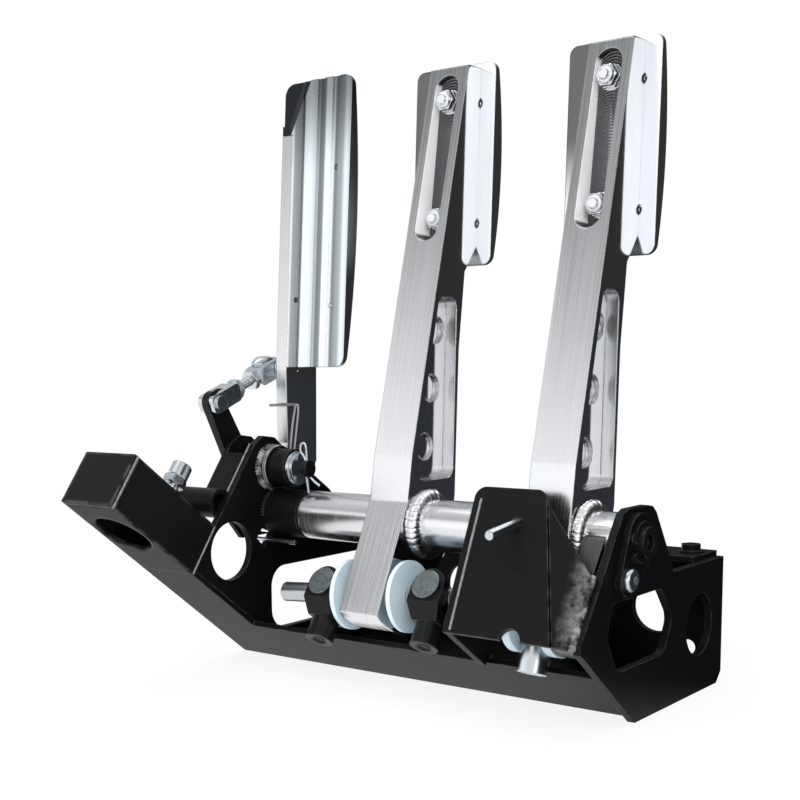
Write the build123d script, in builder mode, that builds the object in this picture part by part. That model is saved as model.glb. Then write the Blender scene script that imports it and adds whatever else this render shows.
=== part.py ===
from build123d import *
import math
import os

os.makedirs("parts", exist_ok=True)

# Driving dimensions in millimetres.
# x runs along the pivot shaft, y towards the driver, z up from the floor face.
# Profiles of plates and levers are drawn in a plane whose origin is the pivot axis.
pivot_y = -60.0
pivot_h = 92.0
plate_t = 4.0
sheet_t = 3.0
end_x = 116.0
inner_x = 46.0
accel_plate_x = -116.0
outer_plate_x = -137.5
shaft_r = 8.0
run_clear = 0.05
side_gap = 0.3

# Floor, toe plate and strut.
toe_y = 10.7
toe_rise = 44.0
strut_start = 106.0
strut_len = 72.0
strut_w = 39.0
strut_h = 32.0
strut_wall = 2.5
hole_r = 17.0
rear_y = 110.0
top_z = -21.0
flange_w = 32.0
cylinder_z = -54.0
cylinder_r = 14.0
cylinder_bolt = 20.2
floor_hole_r = 4.3
floor_bolt_x = 96.0
floor_bolt_y = 36.0
web_len = 77.0
web_fold = 70.0
web_right = 102.0
web_taper = 18.0 / 68.0
stop_r = 2.75
keeper_y = -13.3
keeper_z = -17.0
keeper_r = 8.5

# Pedal levers and hubs.
lever_w = 25.0
brake_x = -20.0
clutch_x = 78.0
hub_r = 14.0
hub_bore_r = 10.0
flange_t = 1.5
brake_hub_x0 = -89.0
brake_hub_x1 = 40.0
clutch_hub_x0 = 48.0
clutch_hub_x1 = 110.0
lower_x0 = 92.5
lower_x1 = 106.5
eye_y = -27.0
eye_z = -37.0
slot_w = 15.0
slot_z0 = 153.0
slot_z1 = 245.0
slot_wall = 6.0
pocket_d = 7.0

# Pads.
pad_w = 52.4
pad_h = 111.0
pad_z0 = 142.0
pad_edge = 3.0
pad_belly = 9.0
pad_seat = 5.4
pad_back_y = 48.1
pad_lean = 3.0
pad_shift = -4.3
pad_bolt_z0 = 166.0
pad_bolt_z1 = 231.0
bolt_r = 3.0

# Balance bar and clevises.
bar_r = 5.55
bar_x0 = -88.0
bar_x1 = 36.0
ball_r = 10.0
race_r = 13.0
race_w = 12.0
sleeve_r = 7.0
barrel_r = 8.0
clevis_w = 20.0
clevis_left_off = 31.0
clevis_right_off = 38.6
clevis_ear = 13.5
clevis_gap = 8.5
clevis_neck = 9.0
bar_tilt = 4.0
clevis_bore_r = 4.0
stem_r = 7.6
stem_len = 29.0
clutch_stem = 29.0
washer_r = 19.4
washer_t = 2.6
washer_off = 5.0
barrel_half = 15.5
barrel_w = 15.8
washer_w = 5.0

# Accelerator and throttle linkage.
arm_x = -125.5
arm_t = 8.0
accel_pad_w = 43.5
accel_pad_h = 168.0
accel_pad_z = 86.0
tab_y = 138.0
throttle_y = -6.0
throttle_z = 27.5
throttle_pin_r = 5.0
boss_r = 11.0
lever_eye_y = -28.0
lever_eye_z = 66.0
link_x = -141.0
lever_half = 2.5
ear_gap = 2.9
ear_half = 6.0
arm_eye_y = 26.0
arm_eye_z = 86.0
link_pin_r = 2.5
link_rod_r = 2.9
fork_len = 19.0
split_x = -89.0
wire_r = 1.0

# Working planes and derived positions.
pivot = Plane(origin=(0, pivot_y, pivot_h), x_dir=(0, 1, 0), z_dir=(1, 0, 0))
toe = Plane(origin=(0, pivot_y + toe_y, 0), x_dir=(1, 0, 0), z_dir=(0, 0.6, 0.8))
floor_z = -pivot_h
floor_top = sheet_t - pivot_h
floor_lip = toe_y + 0.75 * sheet_t
toe_foot = toe_y + sheet_t / 0.6 - sheet_t * 4 / 3
rear_in = rear_y - plate_t
accel_in = accel_plate_x - plate_t
end_in = end_x - plate_t
inner_in = inner_x - plate_t
strut_x0 = accel_plate_x - strut_w
strut_mid = accel_plate_x - strut_w / 2
strut_end = strut_start + strut_len
toe_top = (toe_y - 0.8 * toe_rise + 0.6 * sheet_t, 0.6 * toe_rise + 0.8 * sheet_t - pivot_h)
toe_notch = (toe_top[0] - 3.0, toe_top[1] - 4.0)
seat_low = (toe_y - 0.8 * strut_start + 0.6 * sheet_t, 0.6 * strut_start + 0.8 * sheet_t - pivot_h)
seat_high = (toe_y - 0.8 * strut_start + 0.6 * strut_h, 0.6 * strut_start + 0.8 * strut_h - pivot_h)
bearing_x = brake_x
clevis_x0 = brake_x - clevis_left_off
clevis_x1 = brake_x + clevis_right_off
pad_slope = math.tan(math.radians(pad_lean))
pad_plane = Plane(
    origin=(0, pivot_y + pad_back_y, pivot_h + pad_z0), x_dir=(1, 0, 0),
    z_dir=(0, -math.cos(math.radians(pad_lean)), math.sin(math.radians(pad_lean))),
)
pad_side = Plane(origin=pad_plane.origin, x_dir=-pad_plane.z_dir, z_dir=(1, 0, 0))
lever_seat_low = (pad_back_y + 10 * pad_slope, pad_z0 + 10)
lever_seat_top = (pad_back_y + 108 * pad_slope, pad_z0 + 108)

# Side plate that carries the accelerator: laser-cut sheet with a round hole, a window and a skewed slot.
with BuildPart() as accel_side_plate:
    with BuildSketch(pivot.offset(accel_in)) as accel_profile:
        with BuildLine():
            Polyline(
                (floor_lip, floor_top), (toe_foot, floor_top), seat_low, seat_high, (-39.8, 15.7),
                (-20.2, 41.4), (-12, 46.2), (-2, 44.8), (9.7, 35.9), (49.9, 9.4),
                (rear_y - flange_w, top_z), (rear_in, top_z), (rear_in, floor_top), close=True,
            )
        make_face()
        with Locations((-41.8, -18.9)):
            Circle(hole_r, mode=Mode.SUBTRACT)
        with Locations((42, -52)):
            RectangleRounded(98, 38, 12, mode=Mode.SUBTRACT)
        with Locations((-11, -11.5)):
            Rectangle(15, 9.5, rotation=47, mode=Mode.SUBTRACT)
        Circle(shaft_r, mode=Mode.SUBTRACT)
        with Locations((throttle_y, throttle_z)):
            Circle(throttle_pin_r + 0.3, mode=Mode.SUBTRACT)
    extrude(amount=plate_t)
accel_side_plate.part.label = "accel_side_plate"
export_step(accel_side_plate.part, "parts/accel_side_plate.step")

# Outer cheek and front bridge: one folded sheet that boxes in the accelerator pivot.
with BuildPart() as accel_outer_plate:
    with BuildSketch(pivot.offset(outer_plate_x)):
        with BuildLine():
            Polyline(
                (-40, 15.5), (-20.2, 41.4), (-12, 46.2), (-2, 44.8), (12, 34), (22, 4), (14, -16),
                (-12, -16), close=True,
            )
        make_face()
        Circle(shaft_r, mode=Mode.SUBTRACT)
        with Locations((throttle_y, throttle_z)):
            Circle(throttle_pin_r + run_clear, mode=Mode.SUBTRACT)
    extrude(amount=sheet_t)
    with BuildSketch(pivot.offset(outer_plate_x)):
        with BuildLine():
            Polyline(
                (-40, 15.5), (-24, 36.4), (-21.6, 34.6), (-35.6, 16.3), (-31.4, 11.2), (-33.8, 9.2),
                close=True,
            )
        make_face()
    extrude(amount=accel_in - outer_plate_x)
accel_outer_plate.part.label = "accel_outer_plate"
export_step(accel_outer_plate.part, "parts/accel_outer_plate.step")

# Outboard end plate with its beak, pivot ear, big window and round hole.
with BuildPart() as end_plate:
    with BuildSketch(pivot.offset(end_in)):
        with BuildLine():
            Polyline(
                (2, floor_z), (-55.7, -47), (-55.9, -43), (-35.8, -15.3), (-17, 11.6), (-14, 15),
                (-9, 17), (12, 17), (18, 16), (22.5, 12.6), (39.3, -11.9), (44, top_z), (rear_y, top_z),
                (rear_y, floor_z + 6), (rear_y - 6, floor_z), close=True,
            )
        make_face()
        with Locations((78.8, -54.5)):
            Circle(hole_r, mode=Mode.SUBTRACT)
        Circle(shaft_r, mode=Mode.SUBTRACT)
        with Locations((keeper_y, keeper_z)):
            Circle(bolt_r, mode=Mode.SUBTRACT)
    extrude(amount=plate_t)
    with BuildSketch(pivot.offset(end_in)) as end_window:
        with BuildLine():
            Polyline(
                (30, -27.5), (44.6, -44.7), (34, -62.5), (-18.5, -62.5), (-29, -44), (-26, -27.5),
                close=True,
            )
        make_face()
        fillet(end_window.vertices(), 8)
    extrude(amount=plate_t, mode=Mode.SUBTRACT)
end_plate.part.label = "end_plate"
export_step(end_plate.part, "parts/end_plate.step")

# Inner plate between the two pedals.
with BuildPart() as inner_plate:
    with BuildSketch(pivot.offset(inner_in)):
        with BuildLine():
            Polyline(
                (floor_lip, floor_top), (toe_foot, floor_top), toe_top, toe_notch, (-57.6, -45),
                (-27.4, 19.7), (-14, 21), (14, 21), (23, 13.6), (39.3, -11.9), (44, top_z),
                (rear_in, top_z), (rear_in, floor_top), close=True,
            )
        make_face()
        with Locations((76, -61)):
            Circle(hole_r, mode=Mode.SUBTRACT)
        Circle(shaft_r, mode=Mode.SUBTRACT)
    extrude(amount=plate_t)
inner_plate.part.label = "inner_plate"
export_step(inner_plate.part, "parts/inner_plate.step")

# Floor plate: the face that lies on the car floor, bored for four bolts.
with BuildPart() as floor_plate:
    with BuildSketch(pivot.offset(strut_x0)):
        with BuildLine():
            Polyline(
                (toe_y, floor_z), (rear_in, floor_z), (rear_in, floor_top), (floor_lip, floor_top),
                close=True,
            )
        make_face()
    extrude(amount=end_in - strut_x0)
    with BuildSketch(Plane.XY):
        with Locations((79, 2)):
            RectangleRounded(56, 40, 6)
        with GridLocations(2 * floor_bolt_x, 2 * floor_bolt_y, 2, 2):
            Circle(floor_hole_r)
    extrude(amount=sheet_t, mode=Mode.SUBTRACT)
floor_plate.part.label = "floor_plate"
export_step(floor_plate.part, "parts/floor_plate.step")

# L-shaped toe plate, sloping up and forward from the floor.
with BuildPart() as toe_plate:
    with BuildSketch(toe):
        with BuildLine():
            Polyline(
                (strut_x0, 0), (end_in, 0), (end_in, -toe_rise), (accel_plate_x, -toe_rise),
                (accel_plate_x, -strut_start), (strut_x0, -strut_start), close=True,
            )
        make_face()
    extrude(amount=sheet_t)
toe_plate.part.label = "toe_plate"
export_step(toe_plate.part, "parts/toe_plate.step")

# Rear channel: wall for the three master cylinders with a flange folded forward.
with BuildPart() as rear_channel:
    with BuildSketch(pivot.offset(accel_in)):
        with BuildLine():
            Polyline(
                (rear_in, floor_z), (rear_y, floor_z), (rear_y, top_z + sheet_t),
                (rear_y - flange_w, top_z + sheet_t), (rear_y - flange_w, top_z), (rear_in, top_z),
                close=True,
            )
        make_face()
    extrude(amount=end_in - accel_in)
    with BuildSketch(Plane.XZ.offset(-pivot_y - rear_y)):
        for cx in (clevis_x0, clevis_x1, clutch_x):
            with Locations((cx, pivot_h + cylinder_z)):
                Circle(cylinder_r)
            with Locations(
                (cx - cylinder_bolt, pivot_h + cylinder_z + cylinder_bolt),
                (cx + cylinder_bolt, pivot_h + cylinder_z - cylinder_bolt),
            ):
                Circle(floor_hole_r)
    extrude(amount=plate_t, mode=Mode.SUBTRACT)
rear_channel.part.label = "rear_channel"
export_step(rear_channel.part, "parts/rear_channel.step")

# Box strut on the toe slope, with one round hole in its underside and a closing cap.
with BuildPart() as strut_tube:
    with BuildSketch(toe):
        with Locations((strut_mid, -strut_start - strut_len / 2)):
            Rectangle(strut_w, strut_len)
    extrude(amount=strut_h)
    with BuildSketch(toe.offset(strut_wall)):
        with Locations((strut_mid, -strut_start - strut_len / 2)):
            Rectangle(strut_w - 2 * strut_wall, strut_len)
    extrude(amount=strut_h - 2 * strut_wall, mode=Mode.SUBTRACT)
    with BuildSketch(toe):
        with Locations((strut_mid, -strut_start - 42)):
            Circle(hole_r)
    extrude(amount=strut_wall, mode=Mode.SUBTRACT)
    with BuildSketch(toe.offset(strut_h)):
        with Locations((strut_mid, -strut_start - 25)):
            Circle(4)
    extrude(amount=-strut_wall, mode=Mode.SUBTRACT)
strut_tube.part.label = "strut_tube"
export_step(strut_tube.part, "parts/strut_tube.step")

with BuildPart() as strut_cap:
    with BuildSketch(toe):
        with Locations((strut_mid, -strut_end - sheet_t / 2)):
            Rectangle(strut_w, sheet_t)
    extrude(amount=strut_h)
strut_cap.part.label = "strut_cap"
export_step(strut_cap.part, "parts/strut_cap.step")

# Round tube welded across the strut's rear end.
with BuildPart() as cross_tube:
    with BuildSketch(pivot.offset(strut_x0)):
        with Locations((-46, 9)):
            Circle(8.5)
            Circle(6, mode=Mode.SUBTRACT)
    extrude(amount=accel_in - strut_x0)
cross_tube.part.label = "cross_tube"
export_step(cross_tube.part, "parts/cross_tube.step")

# Folded bracket in front of the clutch hub: sloping web and a cheek to the end plate.
web_low = Vector(0, pivot_y - 57.6, pivot_h - 45)
web_up = Vector(0, 30.2, 64.7).normalized()
web_out = Vector(0, -web_up.Z, web_up.Y)
stop_plane = Plane(origin=(69.5, pivot_y - 29, pivot_h + 10), x_dir=(1, 0, 0), z_dir=(0, -1, 0))
with BuildPart() as front_bracket:
    with BuildSketch(Plane(origin=web_low, x_dir=(1, 0, 0), z_dir=web_out)) as web_face:
        with BuildLine():
            Polyline(
                (inner_in, 0), (web_right, 0), (web_right - web_taper * web_len, web_len),
                (inner_in, web_len), close=True,
            )
        make_face()
        fillet(web_face.vertices().group_by(Axis.Y)[-1], 6)
        with Locations((80, 0)):
            Circle(6, mode=Mode.SUBTRACT)
    extrude(amount=sheet_t)
    with BuildSketch(stop_plane):
        Circle(stop_r)
    extrude(amount=28, mode=Mode.SUBTRACT)
front_bracket.part.label = "front_bracket"
export_step(front_bracket.part, "parts/front_bracket.step")

cheek_a = Vector(web_right - web_taper * web_fold, 0, 0) + web_low + web_up * web_fold
cheek_b = Vector(web_right, 0, 0) + web_low
cheek_c = Vector(end_in, pivot_y - 56.9, pivot_h - 45.4)
cheek_d = Vector(end_in, pivot_y - 36.9, pivot_h - 14.5)
cheek_n = (cheek_b - cheek_a).cross(cheek_d - cheek_a).normalized()
cheek_c = cheek_c - cheek_n * (cheek_c - cheek_a).dot(cheek_n)
with BuildPart() as bracket_cheek:
    cheek_outline = Wire.make_polygon([cheek_a, cheek_b, cheek_c, cheek_d], close=True)
    extrude(Face(cheek_outline), amount=sheet_t, dir=cheek_n)
bracket_cheek.part.label = "bracket_cheek"
export_step(bracket_cheek.part, "parts/bracket_cheek.step")

with BuildPart() as stop_pin:
    with BuildSketch(stop_plane):
        Circle(stop_r)
        Circle(1.6, mode=Mode.SUBTRACT)
    extrude(amount=29)
stop_pin.part.label = "stop_pin"
export_step(stop_pin.part, "parts/stop_pin.step")

# Pivot bosses welded to the accelerator side plate.
with BuildPart() as shaft_boss:
    with BuildSketch(pivot.offset(accel_plate_x)):
        Circle(hub_r)
        Circle(shaft_r, mode=Mode.SUBTRACT)
    extrude(amount=brake_hub_x0 - flange_t - side_gap - accel_plate_x)
shaft_boss.part.label = "shaft_boss"
export_step(shaft_boss.part, "parts/shaft_boss.step")

with BuildPart() as throttle_boss:
    with BuildSketch(pivot.offset(accel_plate_x)):
        with Locations((throttle_y, throttle_z)):
            Circle(boss_r)
            Circle(throttle_pin_r + run_clear, mode=Mode.SUBTRACT)
    extrude(amount=19)
throttle_boss.part.label = "throttle_boss"
export_step(throttle_boss.part, "parts/throttle_boss.step")

# Main pivot shaft with its keeper plate, button screw and circlip.
with BuildPart() as pivot_shaft:
    with BuildSketch(pivot.offset(outer_plate_x - 1)):
        Circle(shaft_r)
    extrude(amount=end_x + 7.5 - outer_plate_x + 1)
    with BuildSketch(pivot.offset(end_x + 7.5)):
        Circle(4)
    extrude(amount=-3, mode=Mode.SUBTRACT)
pivot_shaft.part.label = "pivot_shaft"
export_step(pivot_shaft.part, "parts/pivot_shaft.step")

with BuildPart() as keeper_plate:
    with BuildSketch(pivot.offset(end_x)) as keeper_profile:
        Circle(14.5)
        with Locations((keeper_y, keeper_z)):
            Circle(keeper_r)
        make_hull()
        Circle(shaft_r, mode=Mode.SUBTRACT)
        with Locations((keeper_y, keeper_z)):
            Circle(bolt_r, mode=Mode.SUBTRACT)
    extrude(amount=sheet_t)
keeper_plate.part.label = "keeper_plate"
export_step(keeper_plate.part, "parts/keeper_plate.step")

with BuildPart() as keeper_screw:
    with BuildSketch(pivot.offset(end_x + sheet_t)):
        with Locations((keeper_y, keeper_z)):
            Circle(6)
    extrude(amount=3.4)
    fillet(keeper_screw.faces().sort_by(Axis.X)[-1].edges(), 2.4)
    with BuildSketch(pivot.offset(end_in - 3)):
        with Locations((keeper_y, keeper_z)):
            Circle(bolt_r)
    extrude(amount=plate_t + sheet_t + 3)
    with BuildSketch(pivot.offset(end_x + sheet_t + 3.4)):
        with Locations((keeper_y, keeper_z)):
            RegularPolygon(2.3, 6)
    extrude(amount=-2.4, mode=Mode.SUBTRACT)
keeper_screw.part.label = "keeper_screw"
export_step(keeper_screw.part, "parts/keeper_screw.step")

with BuildPart() as shaft_circlip:
    with BuildSketch(pivot.offset(end_x + sheet_t)):
        Circle(shaft_r + 2.6)
        Circle(shaft_r, mode=Mode.SUBTRACT)
        with Locations((-11, 3)):
            Circle(2.4)
        with Locations((-9, -7.5)):
            Circle(2.4)
        with Locations((-12, -2.4)):
            Rectangle(9, 5.5, rotation=15, mode=Mode.SUBTRACT)
        with Locations((-11, 3), (-9, -7.5)):
            Circle(0.9, mode=Mode.SUBTRACT)
    extrude(amount=1.6)
shaft_circlip.part.label = "shaft_circlip"
export_step(shaft_circlip.part, "parts/shaft_circlip.step")

with BuildPart() as lock_rod:
    with BuildSketch(pivot.offset(accel_in - 4)):
        with Locations((-11, -15.6)):
            Circle(1.4)
    extrude(amount=accel_plate_x + 23 - accel_in + 4)
lock_rod.part.label = "lock_rod"
export_step(lock_rod.part, "parts/lock_rod.step")

# Nuts and bolts that hold the rear flange on its neighbour.
with BuildPart() as flange_bolts:
    for bx in (-60, 10, 103):
        with BuildSketch(Plane.XY.offset(pivot_h + top_z + sheet_t)):
            with Locations((bx, pivot_y + rear_y - 14)):
                Circle(7)
        extrude(amount=1.2)
        with BuildSketch(Plane.XY.offset(pivot_h + top_z + sheet_t + 1.2)):
            with Locations((bx, pivot_y + rear_y - 14)):
                RegularPolygon(5.6, 6)
        extrude(amount=3.4)
flange_bolts.part.label = "flange_bolts"
export_step(flange_bolts.part, "parts/flange_bolts.step")

# Stop screw for the accelerator, locked by a nut on the strut.
with BuildPart() as throttle_stop:
    with BuildSketch(toe.offset(strut_h - strut_wall)):
        with Locations((strut_mid, -strut_start - 25)):
            Circle(4)
    extrude(amount=14)
    with BuildSketch(toe.offset(strut_h + 6.5)):
        with Locations((strut_mid, -strut_start - 25)):
            Circle(6)
    extrude(amount=7)
    fillet(throttle_stop.faces().sort_by(Axis.Z)[-1].edges(), 1)
throttle_stop.part.label = "throttle_stop"
export_step(throttle_stop.part, "parts/throttle_stop.step")

with BuildPart() as throttle_stop_nut:
    with BuildSketch(toe.offset(strut_h)):
        with Locations((strut_mid, -strut_start - 25)):
            RegularPolygon(7.4, 6)
            Circle(4, mode=Mode.SUBTRACT)
    extrude(amount=6.5)
throttle_stop_nut.part.label = "throttle_stop_nut"
export_step(throttle_stop_nut.part, "parts/throttle_stop_nut.step")

# Brake lever machined from a 25 mm bar: bent front face, side pockets, slot for the pad bolts.
with BuildPart() as brake_lever:
    with BuildSketch(pivot.offset(brake_x - lever_w / 2)) as lever_profile:
        with BuildLine():
            Polyline(
                (41, 250), (-15, 38), (-19, 14), (-47.5, -44), (-44.5, -47.5), (-40, -50.5), (-33, -54.5),
                (-26, -56.5), (-19, -55.5), (-13, -51), (22, -12), (27, 14), (31, 95), (37, 138),
                lever_seat_low, lever_seat_top, close=True,
            )
        make_face()
        Circle(hub_r, mode=Mode.SUBTRACT)
        with Locations((eye_y, eye_z)):
            Circle(race_r, mode=Mode.SUBTRACT)
    extrude(amount=lever_w)
    with BuildSketch(pad_plane.offset(slot_wall)):
        with Locations((brake_x, (slot_z0 + slot_z1) / 2 - pad_z0)):
            SlotOverall(slot_z1 - slot_z0, slot_w, rotation=90)
    extrude(amount=60, mode=Mode.SUBTRACT)
    with BuildSketch(pad_plane):
        with Locations((brake_x, pad_bolt_z0 - pad_z0), (brake_x, pad_bolt_z1 - pad_z0)):
            Circle(bolt_r)
    extrude(amount=slot_wall, mode=Mode.SUBTRACT)
    for px, pd in ((brake_x + lever_w / 2, -pocket_d), (brake_x - lever_w / 2, pocket_d)):
        with BuildSketch(pivot.offset(px)) as side_pocket:
            with BuildLine():
                Polyline((-10, 24), (-8, 45), (12, 124), (29, 124), (25, 24), close=True)
            make_face()
            fillet(side_pocket.vertices(), 6)
        extrude(amount=pd, mode=Mode.SUBTRACT)
        with BuildSketch(pivot.offset(px + pd)):
            with Locations((19, 106), (14, 74), (8, 42)):
                Circle(7.5)
        extrude(amount=pd * 0.3, mode=Mode.SUBTRACT)
brake_lever.part.label = "brake_lever"
export_step(brake_lever.part, "parts/brake_lever.step")

with BuildPart() as brake_hub:
    with BuildSketch(pivot.offset(brake_hub_x0)):
        Circle(hub_r)
        Circle(hub_bore_r, mode=Mode.SUBTRACT)
    extrude(amount=brake_hub_x1 - brake_hub_x0)
brake_hub.part.label = "brake_hub"
export_step(brake_hub.part, "parts/brake_hub.step")

# Weld fillets round the hub on both faces of the lever.
with BuildPart() as brake_hub_welds:
    for wx, wd in ((brake_x - lever_w / 2, -1), (brake_x + lever_w / 2, 1)):
        with BuildSketch(Plane(origin=(wx, pivot_y, pivot_h), x_dir=(1, 0, 0), z_dir=(0, 1, 0))):
            with BuildLine():
                Polyline(
                    (0, -hub_r), (0, -hub_r - 5.5), (wd * 3.5, -hub_r - 4), (wd * 6, -hub_r), close=True
                )
            make_face()
        revolve(axis=Axis((0, pivot_y, pivot_h), (1, 0, 0)))
brake_hub_welds.part.label = "brake_hub_welds"
export_step(brake_hub_welds.part, "parts/brake_hub_welds.step")

with BuildPart() as brake_bushes:
    for bx, bd in ((brake_hub_x0, 1), (brake_hub_x1, -1)):
        with BuildSketch(pivot.offset(bx)):
            Circle(hub_bore_r)
            Circle(shaft_r + run_clear, mode=Mode.SUBTRACT)
        extrude(amount=bd * 22)
        with BuildSketch(pivot.offset(bx)):
            Circle(hub_r - 1)
            Circle(shaft_r + run_clear, mode=Mode.SUBTRACT)
        extrude(amount=-bd * flange_t)
brake_bushes.part.label = "brake_bushes"
export_step(brake_bushes.part, "parts/brake_bushes.step")

# Brake pad: flat back on the lever, curved front for the foot, rounded corners.
with BuildPart() as brake_pad:
    with BuildSketch(pad_plane):
        with Locations((brake_x + pad_shift, pad_h / 2)):
            RectangleRounded(pad_w, pad_h, 5)
    extrude(amount=-20)
    with BuildSketch(pad_side.offset(brake_x - 60)):
        with BuildLine():
            Line((pad_edge, 0), (0, 0))
            Line((0, 0), (0, pad_h))
            Line((0, pad_h), (pad_edge, pad_h))
            ThreePointArc((pad_edge, pad_h), (pad_belly, pad_h / 2), (pad_edge, 0))
        make_face()
    extrude(amount=120, mode=Mode.INTERSECT)
    with BuildSketch(pad_plane):
        with Locations((brake_x, pad_bolt_z0 - pad_z0), (brake_x, pad_bolt_z1 - pad_z0)):
            Circle(bolt_r)
        with Locations((brake_x + 9, 23), (brake_x + 9, 89)):
            SlotOverall(10, 6)
    extrude(amount=-20, mode=Mode.SUBTRACT)
    with BuildSketch(pad_plane.offset(-pad_seat)):
        with Locations((brake_x, pad_bolt_z0 - pad_z0), (brake_x, pad_bolt_z1 - pad_z0)):
            Circle(6)
    extrude(amount=-14, mode=Mode.SUBTRACT)
brake_pad.part.label = "brake_pad"
export_step(brake_pad.part, "parts/brake_pad.step")

with BuildPart() as brake_pad_bolts:
    for bz in (pad_bolt_z0 - pad_z0, pad_bolt_z1 - pad_z0):
        with BuildSketch(pad_plane.offset(slot_wall + 10.5)):
            with Locations((brake_x, bz)):
                Circle(bolt_r)
        extrude(amount=-slot_wall - 10.5 - pad_seat)
        with BuildSketch(pad_plane.offset(-pad_seat)):
            with Locations((brake_x, bz)):
                Circle(5.5)
        extrude(amount=-2.6)
brake_pad_bolts.part.label = "brake_pad_bolts"
export_step(brake_pad_bolts.part, "parts/brake_pad_bolts.step")

with BuildPart() as brake_pad_nuts:
    for bz in (pad_bolt_z0 - pad_z0, pad_bolt_z1 - pad_z0):
        with BuildSketch(pad_plane.offset(slot_wall)):
            with Locations((brake_x, bz)):
                Circle(6.4)
                Circle(bolt_r, mode=Mode.SUBTRACT)
        extrude(amount=1.5)
        with BuildSketch(pad_plane.offset(slot_wall + 1.5)):
            with Locations((brake_x, bz)):
                RegularPolygon(5.8, 6)
                Circle(bolt_r, mode=Mode.SUBTRACT)
        extrude(amount=5.5)
        with BuildSketch(pad_plane.offset(slot_wall + 7)):
            with Locations((brake_x, bz)):
                Circle(4.6)
                Circle(bolt_r, mode=Mode.SUBTRACT)
        extrude(amount=2)
brake_pad_nuts.part.label = "brake_pad_nuts"
export_step(brake_pad_nuts.part, "parts/brake_pad_nuts.step")

# Spherical bearing pressed in the lever's lower eye.
eye_plane = Plane(origin=(bearing_x, pivot_y + eye_y, pivot_h + eye_z), x_dir=(1, 0, 0), z_dir=(0, -1, 0))
eye_axis = Axis((bearing_x, pivot_y + eye_y, pivot_h + eye_z), (1, 0, 0))
seat_r = ball_r + run_clear
seat_mouth = math.sqrt(seat_r**2 - (race_w / 2) ** 2)
with BuildPart() as bearing_race:
    with BuildSketch(eye_plane):
        with BuildLine():
            ThreePointArc((-race_w / 2, seat_mouth), (0, seat_r), (race_w / 2, seat_mouth))
            Polyline(
                (race_w / 2, seat_mouth), (race_w / 2, race_r), (-race_w / 2, race_r),
                (-race_w / 2, seat_mouth),
            )
        make_face()
    revolve(axis=eye_axis)
bearing_race.part.label = "bearing_race"
export_step(bearing_race.part, "parts/bearing_race.step")

# Clutch lever: the same bar, with its lower arm set to the right and bored for the clevis pin.
with BuildPart() as clutch_lever:
    with BuildSketch(pivot.offset(clutch_x - lever_w / 2)):
        with BuildLine():
            Polyline(
                (41, 250), (-15, 38), (-19, 14), (-22, 2), (-19, -11), (-11, -19), (0, -22), (12, -18.5),
                (21, -7), (27, 14), (31, 95), (37, 138), lever_seat_low, lever_seat_top, close=True,
            )
        make_face()
        Circle(hub_r, mode=Mode.SUBTRACT)
    extrude(amount=lever_w)
    with BuildSketch(pivot.offset(clutch_x + lever_w / 2 - 2)):
        Circle(21)
        Circle(hub_r, mode=Mode.SUBTRACT)
    extrude(amount=lower_x0 - clutch_x - lever_w / 2 + 3)
    with BuildSketch(pivot.offset(lower_x0)):
        with BuildLine():
            Polyline(
                (-47.5, -44), (-44.5, -47.5), (-40, -50.5), (-33, -54.5), (-26, -56.5), (-19, -55.5),
                (-13, -51), (20, -10), (22, 4), (16, 16), (4, 22), (-8, 21), (-17, 16), (-21, 6), close=True,
            )
        make_face()
        Circle(hub_r, mode=Mode.SUBTRACT)
        with Locations((eye_y, eye_z)):
            Circle(throttle_pin_r, mode=Mode.SUBTRACT)
    extrude(amount=lower_x1 - lower_x0)
    with BuildSketch(pad_plane.offset(slot_wall)):
        with Locations((clutch_x, (slot_z0 + slot_z1) / 2 - pad_z0)):
            SlotOverall(slot_z1 - slot_z0, slot_w, rotation=90)
    extrude(amount=60, mode=Mode.SUBTRACT)
    with BuildSketch(pad_plane):
        with Locations((clutch_x, pad_bolt_z0 - pad_z0), (clutch_x, pad_bolt_z1 - pad_z0)):
            Circle(bolt_r)
    extrude(amount=slot_wall, mode=Mode.SUBTRACT)
    for px, pd in ((clutch_x + lever_w / 2, -pocket_d), (clutch_x - lever_w / 2, pocket_d)):
        with BuildSketch(pivot.offset(px)) as clutch_pocket:
            with BuildLine():
                Polyline((-10, 24), (-8, 45), (12, 124), (29, 124), (25, 24), close=True)
            make_face()
            fillet(clutch_pocket.vertices(), 6)
        extrude(amount=pd, mode=Mode.SUBTRACT)
        with BuildSketch(pivot.offset(px + pd)):
            with Locations((19, 106), (14, 74), (8, 42)):
                Circle(7.5)
        extrude(amount=pd * 0.3, mode=Mode.SUBTRACT)
clutch_lever.part.label = "clutch_lever"
export_step(clutch_lever.part, "parts/clutch_lever.step")

with BuildPart() as clutch_hub:
    with BuildSketch(pivot.offset(clutch_hub_x0)):
        Circle(hub_r)
        Circle(hub_bore_r, mode=Mode.SUBTRACT)
    extrude(amount=clutch_hub_x1 - clutch_hub_x0)
clutch_hub.part.label = "clutch_hub"
export_step(clutch_hub.part, "parts/clutch_hub.step")

with BuildPart() as clutch_hub_welds:
    for wx, wd in ((clutch_x - lever_w / 2, -1), (lower_x1, 0.55)):
        with BuildSketch(Plane(origin=(wx, pivot_y, pivot_h), x_dir=(1, 0, 0), z_dir=(0, 1, 0))):
            with BuildLine():
                Polyline(
                    (0, -hub_r), (0, -hub_r - 5.5), (wd * 3.5, -hub_r - 4), (wd * 6, -hub_r), close=True
                )
            make_face()
        revolve(axis=Axis((0, pivot_y, pivot_h), (1, 0, 0)))
clutch_hub_welds.part.label = "clutch_hub_welds"
export_step(clutch_hub_welds.part, "parts/clutch_hub_welds.step")

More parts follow.
